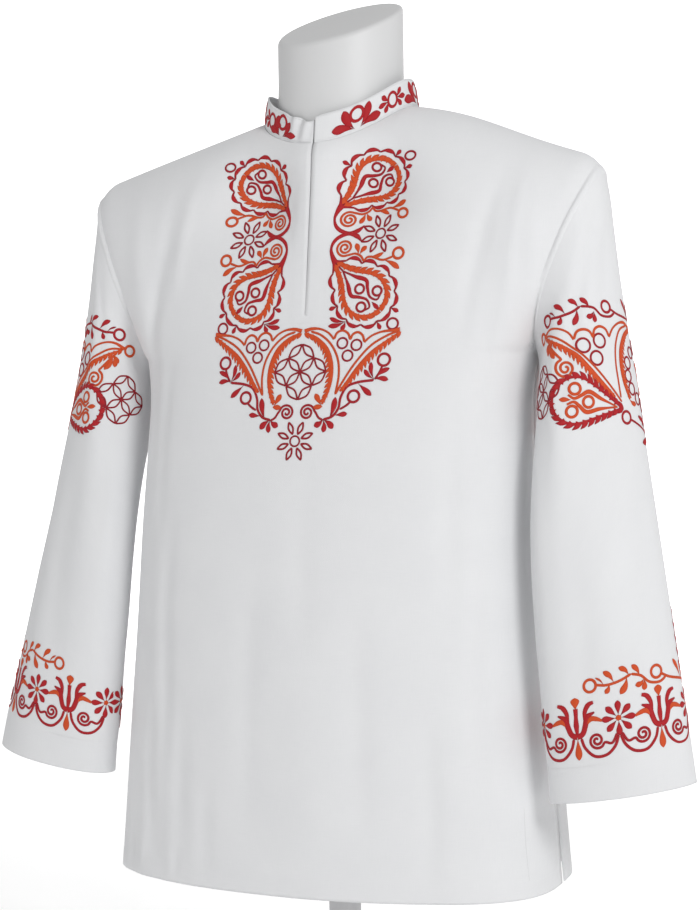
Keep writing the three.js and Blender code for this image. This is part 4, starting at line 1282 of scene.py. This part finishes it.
def tulip(foot):
    """A cup with two curled petals to each side, a pistil with an orange head, and a drop hanging below."""
    f = np.asarray(foot, float)
    strokes = bud(f + [0, -1], f + [0, -20.5], 6.0, ORANGE)
    strokes += swelling([f + [0, 3], f + [0.3, 12], f + [0, 21], f + [0, 26]], [2.2, 4.6, 3.0, 3.8],
                        RED) + bud(f + [0, 25], f + [0, 36], 7.4, ORANGE)
    for k in (-1, 1):
        strokes += swelling([f + [0, 0.4], f + [k * 5.0, 2.6], f + [k * 8.2, 10], f + [k * 10.5, 17.5],
                             f + [k * 17.5, 21]], [4.6, 4.4, 4.6, 4.6, 1.0], RED)
        strokes += swelling([f + [k * 7.5, 15], f + [k * 8.8, 23], f + [k * 12.5, 28.5], f + [k * 17, 30]],
                            [1.4, 3.4, 4.2, 2.4], RED)
        strokes += swelling([f + [k * 9.6, 11.5], f + [k * 14, 15.4], f + [k * 19, 14.6], f + [k * 24, 12.4]],
                            [2.0, 4.2, 3.6, 1.6], ORANGE)
    return strokes


def cuff_row():
    """Five flowers and four tulips on a wave of double arcs, each arc ending in a spiral."""
    strokes = []
    for k in range(-2, 3):
        strokes += full_flower((k * FLOWER_PITCH, 72))
    for k in (-1.5, -0.5, 0.5, 1.5):
        x = k * FLOWER_PITCH
        strokes += tulip((x, 59))
        for side in (-1, 1):
            near, far = x + side * 3.5, x + side * (FLOWER_PITCH / 2 - 1)
            strokes += line([(near, 58), (near + side * 3, 49), (near + side * 12, 40.5), (near + side * 23, 41),
                             (far - side * 3.5, 48), (far, 57)], 1.9)
            strokes += spiral((near + side * 14.5, 54.5), 7.6, 1.9, np.pi / 2 - side * 1.9, RED, 1.7, -side,
                              lead=[(far - side * 1.0, 59), (far - side * 6.5, 50.6), (near + side * 20.5, 46.2)][:2])
    return strokes


def cuff_garland():
    """The orange garland above the cuff row, with a red sprig standing on the fold."""
    half = garland(104, ORANGE, 102, 39)
    sprigs = line([(0, 90), (0, 150)], 1.8) + bud((0, 148), (0, 162), 3.6)
    for y in (100, 112, 124, 136):
        for k in (-1, 1):
            sprigs += bud((0, y), (k * 6.5, y + 12), 4.2, RED, k * 0.1)
    return half + moved(half, flip_x=True) + sprigs


def collar_strokes():
    """Hearts in pairs round rings, and leaf sprigs between, all along the band; heights are from its seam."""
    strokes, middle = [], 13.0
    def pair(s, half=21.0):
        out = ring((s, middle + 3.5), 7.0, 2.2, RED, 0.96)
        for k in (-1, 1):
            out += heart((s + k * 3.2, 3.0), np.pi / 2 - k * 0.95, half, RED)
        return out
    def twig(s):
        out = ring((s, middle), 6.0, 2.0, RED, 1.15)
        for k in (-1, 1):
            for end in ((k * 13.5, 8.5), (k * 18.5, -1.0), (k * 11.5, -9.5)):
                out += bud((s + k * 5.5, middle), (s + end[0], middle + end[1] * 0.95), 4.8, RED)
        return out
    s, kind = COLLAR_LENGTH - 44, 0
    while s > 62:
        strokes += pair(s) if kind == 0 else twig(s)
        s, kind = s - 43, 1 - kind
    return strokes + pair(44, 17.0)


# %% Laying the stitches
def body_chart(places):
    """Front: (x, z) to points."""
    return body_place("front", places[:, 0], places[:, 1])


def sleeve_chart(side):
    """Sleeve: (round, height) to points, bilinear in the flat sleeve's table of worn places."""
    table = FLAT[side]
    def chart(places):
        u = np.clip((places[:, 0] - FLAT_S[0]) / STEP, 0, len(FLAT_S) - 1.001)
        v = np.clip((places[:, 1] - FLAT_H[0]) / STEP, 0, len(FLAT_H) - 1.001)
        i, j = v.astype(int), u.astype(int)
        a, b = (v - i)[:, None], (u - j)[:, None]
        return (table[i, j] * (1 - a) * (1 - b) + table[i + 1, j] * a * (1 - b) + table[i, j + 1] * (1 - a) * b
                + table[i + 1, j + 1] * a * b)
    return chart


def collar_chart(places):
    """Band: (along, up) to points."""
    return collar_place(places[:, 0], places[:, 1])


THREADS = {RED: (red_thread, "red_thread"), ORANGE: (orange_thread, "orange_thread"),
           WHITE: (white_thread, "shirt_cloth")}
CROSS = np.array([-1, -0.6, 0, 0.6, 1]) / 2
CROWN = np.array([0.0, 0.72, 1.0, 0.72, 0.0])


def lay(name, strokes, chart, outward, lift, colour):
    """One mesh of all strokes of a colour, each a ridge of five lines: lift + crown * (0.2 + 0.09 width) high."""
    places, rises, flats, painted_shade_marks, quads, count = [], [], [], [], [], 0
    for path, width, tint, closed in strokes:
        if tint != colour:
            continue
        ahead = np.gradient(path, axis=0)
        if closed:
            ahead[0] = ahead[-1] = path[1] - path[-2]
        ahead /= np.maximum(np.hypot(*ahead.T)[:, None], 1e-9)
        aside = np.stack([-ahead[:, 1], ahead[:, 0]], -1)
        spread = width[:, None] * CROSS
        places.append((path[:, None] + aside[:, None] * spread[..., None]).reshape(-1, 2))
        rises.append((CROWN * (0.2 + 0.09 * np.minimum(width, 6))[:, None]).ravel())
        gone = np.r_[0, np.cumsum(np.hypot(*np.diff(path, axis=0).T))]
        flats.append(np.stack([spread, np.broadcast_to(gone[:, None], spread.shape)], -1).reshape(-1, 2))
        # Painted shade: thin strokes and the outer lines of each stroke are darkened towards the thread's second
        # colour
        thin = np.clip(1 - (width - 1.2) / 2.0, 0, 1)[:, None] * (0.6 if colour == RED else 0.35)
        painted_shade_marks.append(np.maximum(np.abs(CROSS * 2) ** 5 * 0.3, thin + 0 * CROSS).ravel())
        quads.append(grid_quads(len(path), 5, start=count))
        count += len(path) * 5
    places, rises = np.vstack(places), np.concatenate(rises)
    point = chart(places)
    du = chart(places + [1, 0]) - chart(places - [1, 0])
    dv = chart(places + [0, 1]) - chart(places - [0, 1])
    normal = np.cross(du, dv) * outward
    normal /= np.maximum(np.linalg.norm(normal, axis=1, keepdims=True), 1e-9)
    points = point + normal * (lift + rises)[:, None]
    quads = np.vstack(quads)[:, ::int(outward)]
    piece = make_mesh(name, points, quads, np.vstack(flats), np.concatenate(painted_shade_marks))
    settle(piece, *THREADS[colour])
    print(name, len(piece.data.polygons) * 2, "triangles")
    return piece


# %% Embroidered pieces
FRONT_STROKES = front_strokes()
SLEEVE_STROKES = upper_arm() + cuff_row() + cuff_garland()
COLLAR_STROKES = collar_strokes()
stitched = {"front": [], "sleeve_left": [], "sleeve_right": [], "collar": []}
for colour in (RED, ORANGE):
    stitched["front"].append(lay("front_stitches_" + colour, FRONT_STROKES, body_chart, 1, OUT + 0.25, colour))
    for side, label in ((1, "sleeve_left"), (-1, "sleeve_right")):
        stitched[label].append(lay(label + "_stitches_" + colour, SLEEVE_STROKES, sleeve_chart(side), -side,
                                   OUT + 0.2, colour))
stitched["collar"].append(lay("collar_stitches_red", COLLAR_STROKES, collar_chart, -1, 0.15, RED))

# %% [markdown]
# The plain sewing: lines of small white running stitches hold the hems, the cuffs, the facing of the slit, the
# vents and both edges of the band.

# %% Plain sewing
STITCH, STITCH_PITCH = 2.5, 3.6
SIDE_LINE = [(212, HEM_Z + HEM_FOLD), (209, HEM_Z + 50), (207, HEM_Z + VENT_HEIGHT - 2)]  # beside the left vent
FACING_X, CUFF_LINE_HALF, BAND_LINE_HEIGHTS = 13.5, 158, (1.6, 25.2)


def running(points):
    """Running stitches along a line of places: each is one short stroke."""
    path = smooth_line(points)
    gone = np.r_[0, np.cumsum(np.hypot(*np.diff(path, axis=0).T))]
    strokes = []
    for at in np.arange(0, gone[-1] - STITCH, STITCH_PITCH):
        near, far = ([np.interp(g, gone, path[:, k]) for k in range(2)] for g in (at, at + STITCH))
        strokes.append((np.array([near, (np.array(near) + far) / 2, far]), np.array([0.35, 0.6, 0.35]), WHITE, False))
    return strokes


def running_level(near, far, height):
    """Running stitches along a level line."""
    return running([(near, height), ((near + far) / 2, height), (far, height)])


def panel_sewing():
    """The hem line and the lines beside both vents."""
    half, hem = SIDE_LINE[0]
    strokes = running_level(-half, half, hem - 1)
    for k in (-1, 1):
        strokes += running([(k * x, z) for x, z in SIDE_LINE])
    return strokes


def facing_sewing():
    """The line round the facing of the slit."""
    strokes = []
    for k in (-1, 1):
        strokes += running([(k * FACING_X, 947), (k * FACING_X, 870), (k * FACING_X, SLIT_END_Z - 6)])
    return strokes + running_level(0.5 - FACING_X, FACING_X - 0.5, SLIT_END_Z - 7)


def back_chart(places):
    """Back: (x, z) to points."""
    return body_place("back", places[:, 0], places[:, 1])


PLAIN_LIFT = OUT + 0.1
front_sewing = lay("front_sewing", panel_sewing() + facing_sewing(), body_chart, 1, PLAIN_LIFT, WHITE)
stitched["front"].append(front_sewing)
stitched["back"] = [lay("back_sewing", panel_sewing(), back_chart, -1, PLAIN_LIFT, WHITE)]
cuff_line = running_level(-CUFF_LINE_HALF, CUFF_LINE_HALF, CUFF_FOLD - 1.5)
for side, label in ((1, "sleeve_left"), (-1, "sleeve_right")):
    stitched[label].append(lay(label + "_sewing", cuff_line, sleeve_chart(side), -side, PLAIN_LIFT, WHITE))
band_lines = [stroke for height in BAND_LINE_HEIGHTS for stroke in running_level(3, COLLAR_LENGTH - 3, height)]
stitched["collar"].append(lay("collar_sewing", band_lines, collar_chart, -1, 0.1, WHITE))

# %% [markdown]
# ## Camera and light
# The shirt is seen from its left front, a little above the middle, under plain soft light on a pale floor.

# %% Camera
PICTURE_WIDTH, PICTURE_HEIGHT, SENSOR = 700, 910, 24
CAMERA_TURN, CAMERA_AWAY, CAMERA_Z = np.radians(22.07), 1.90535, 0.70862
CAMERA_PITCH, CAMERA_ROLL, FOCAL, MIDDLE_X = np.radians(1.447), np.radians(-0.797), 1909.94, 338.95
right = np.array([np.cos(CAMERA_TURN), np.sin(CAMERA_TURN), 0])
ahead = np.array([-np.sin(CAMERA_TURN), np.cos(CAMERA_TURN), 0])
up = np.array([0, 0, 1.0])
look = ahead * np.cos(CAMERA_PITCH) - up * np.sin(CAMERA_PITCH)
over = up * np.cos(CAMERA_PITCH) + ahead * np.sin(CAMERA_PITCH)
rolled = right * np.cos(CAMERA_ROLL) + over * np.sin(CAMERA_ROLL)
over = over * np.cos(CAMERA_ROLL) - right * np.sin(CAMERA_ROLL)
lens = bpy.data.cameras.new("camera")
lens.sensor_fit, lens.sensor_height = "VERTICAL", SENSOR
lens.lens = FOCAL / PICTURE_HEIGHT * SENSOR
lens.shift_x = (PICTURE_WIDTH / 2 - MIDDLE_X) / PICTURE_HEIGHT
camera = bpy.data.objects.new("camera", lens)
bpy.context.scene.collection.objects.link(camera)
place = (CAMERA_AWAY * np.sin(CAMERA_TURN), -CAMERA_AWAY * np.cos(CAMERA_TURN), CAMERA_Z)
axes = np.stack([rolled, over, -look], -1)
camera.matrix_world = Matrix([[*row, p] for row, p in zip(axes, place)] + [[0, 0, 0, 1]])
bpy.context.scene.camera = camera


# %% Light and floor
def softbox(name, place, aim, size, power):
    """A square area light at a place, turned to its aim."""
    data = bpy.data.lights.new(name, "AREA")
    data.size, data.energy = size, power
    lamp = bpy.data.objects.new(name, data)
    lamp.location = place
    lamp.rotation_euler = (Vector(aim) - Vector(place)).to_track_quat("-Z", "Y").to_euler()
    bpy.context.scene.collection.objects.link(lamp)


def flat_piece(name, corners, material):
    """One four-cornered flat piece."""
    piece = make_mesh(name, np.array(corners, float), np.array([[0, 1, 2, 3]]))
    piece.data.materials.append(material)
    return piece


softbox("key", (2.2, -1.7, 2.0), (0, 0, 0.65), 0.9, 36)
softbox("fill", (-2.3, -1.6, 1.6), (0, 0, 0.6), 1.6, 4)
world = bpy.data.worlds.new("studio")
world.use_nodes = True
world.node_tree.nodes["Background"].inputs[0].default_value = (1, 1, 1, 1)
world.node_tree.nodes["Background"].inputs[1].default_value = 0.52
bpy.context.scene.world = world
bpy.context.scene.view_settings.view_transform = "Standard"
pale = {"Scale": 30.0, "Light": (0.9, 0.9, 0.9, 1), "Shade": (0.88, 0.88, 0.88, 1)}
room = finish("pale_room", grain, pale, 0.02, Emission_Color=(1, 1, 1, 1), Emission_Strength=0.3)
screen = finish("pale_screen", grain, pale, 0.02, Emission_Color=(1, 1, 1, 1), Emission_Strength=1.0)
floor = flat_piece("floor", [(-6000, -6000, 0), (6000, -6000, 0), (6000, 9000, 0), (-6000, 9000, 0)], room)
backdrop = flat_piece("backdrop", [(-2700, 3000, 0), (200, 3000, 0), (200, 3000, 2600), (-2700, 3000, 2600)], screen)
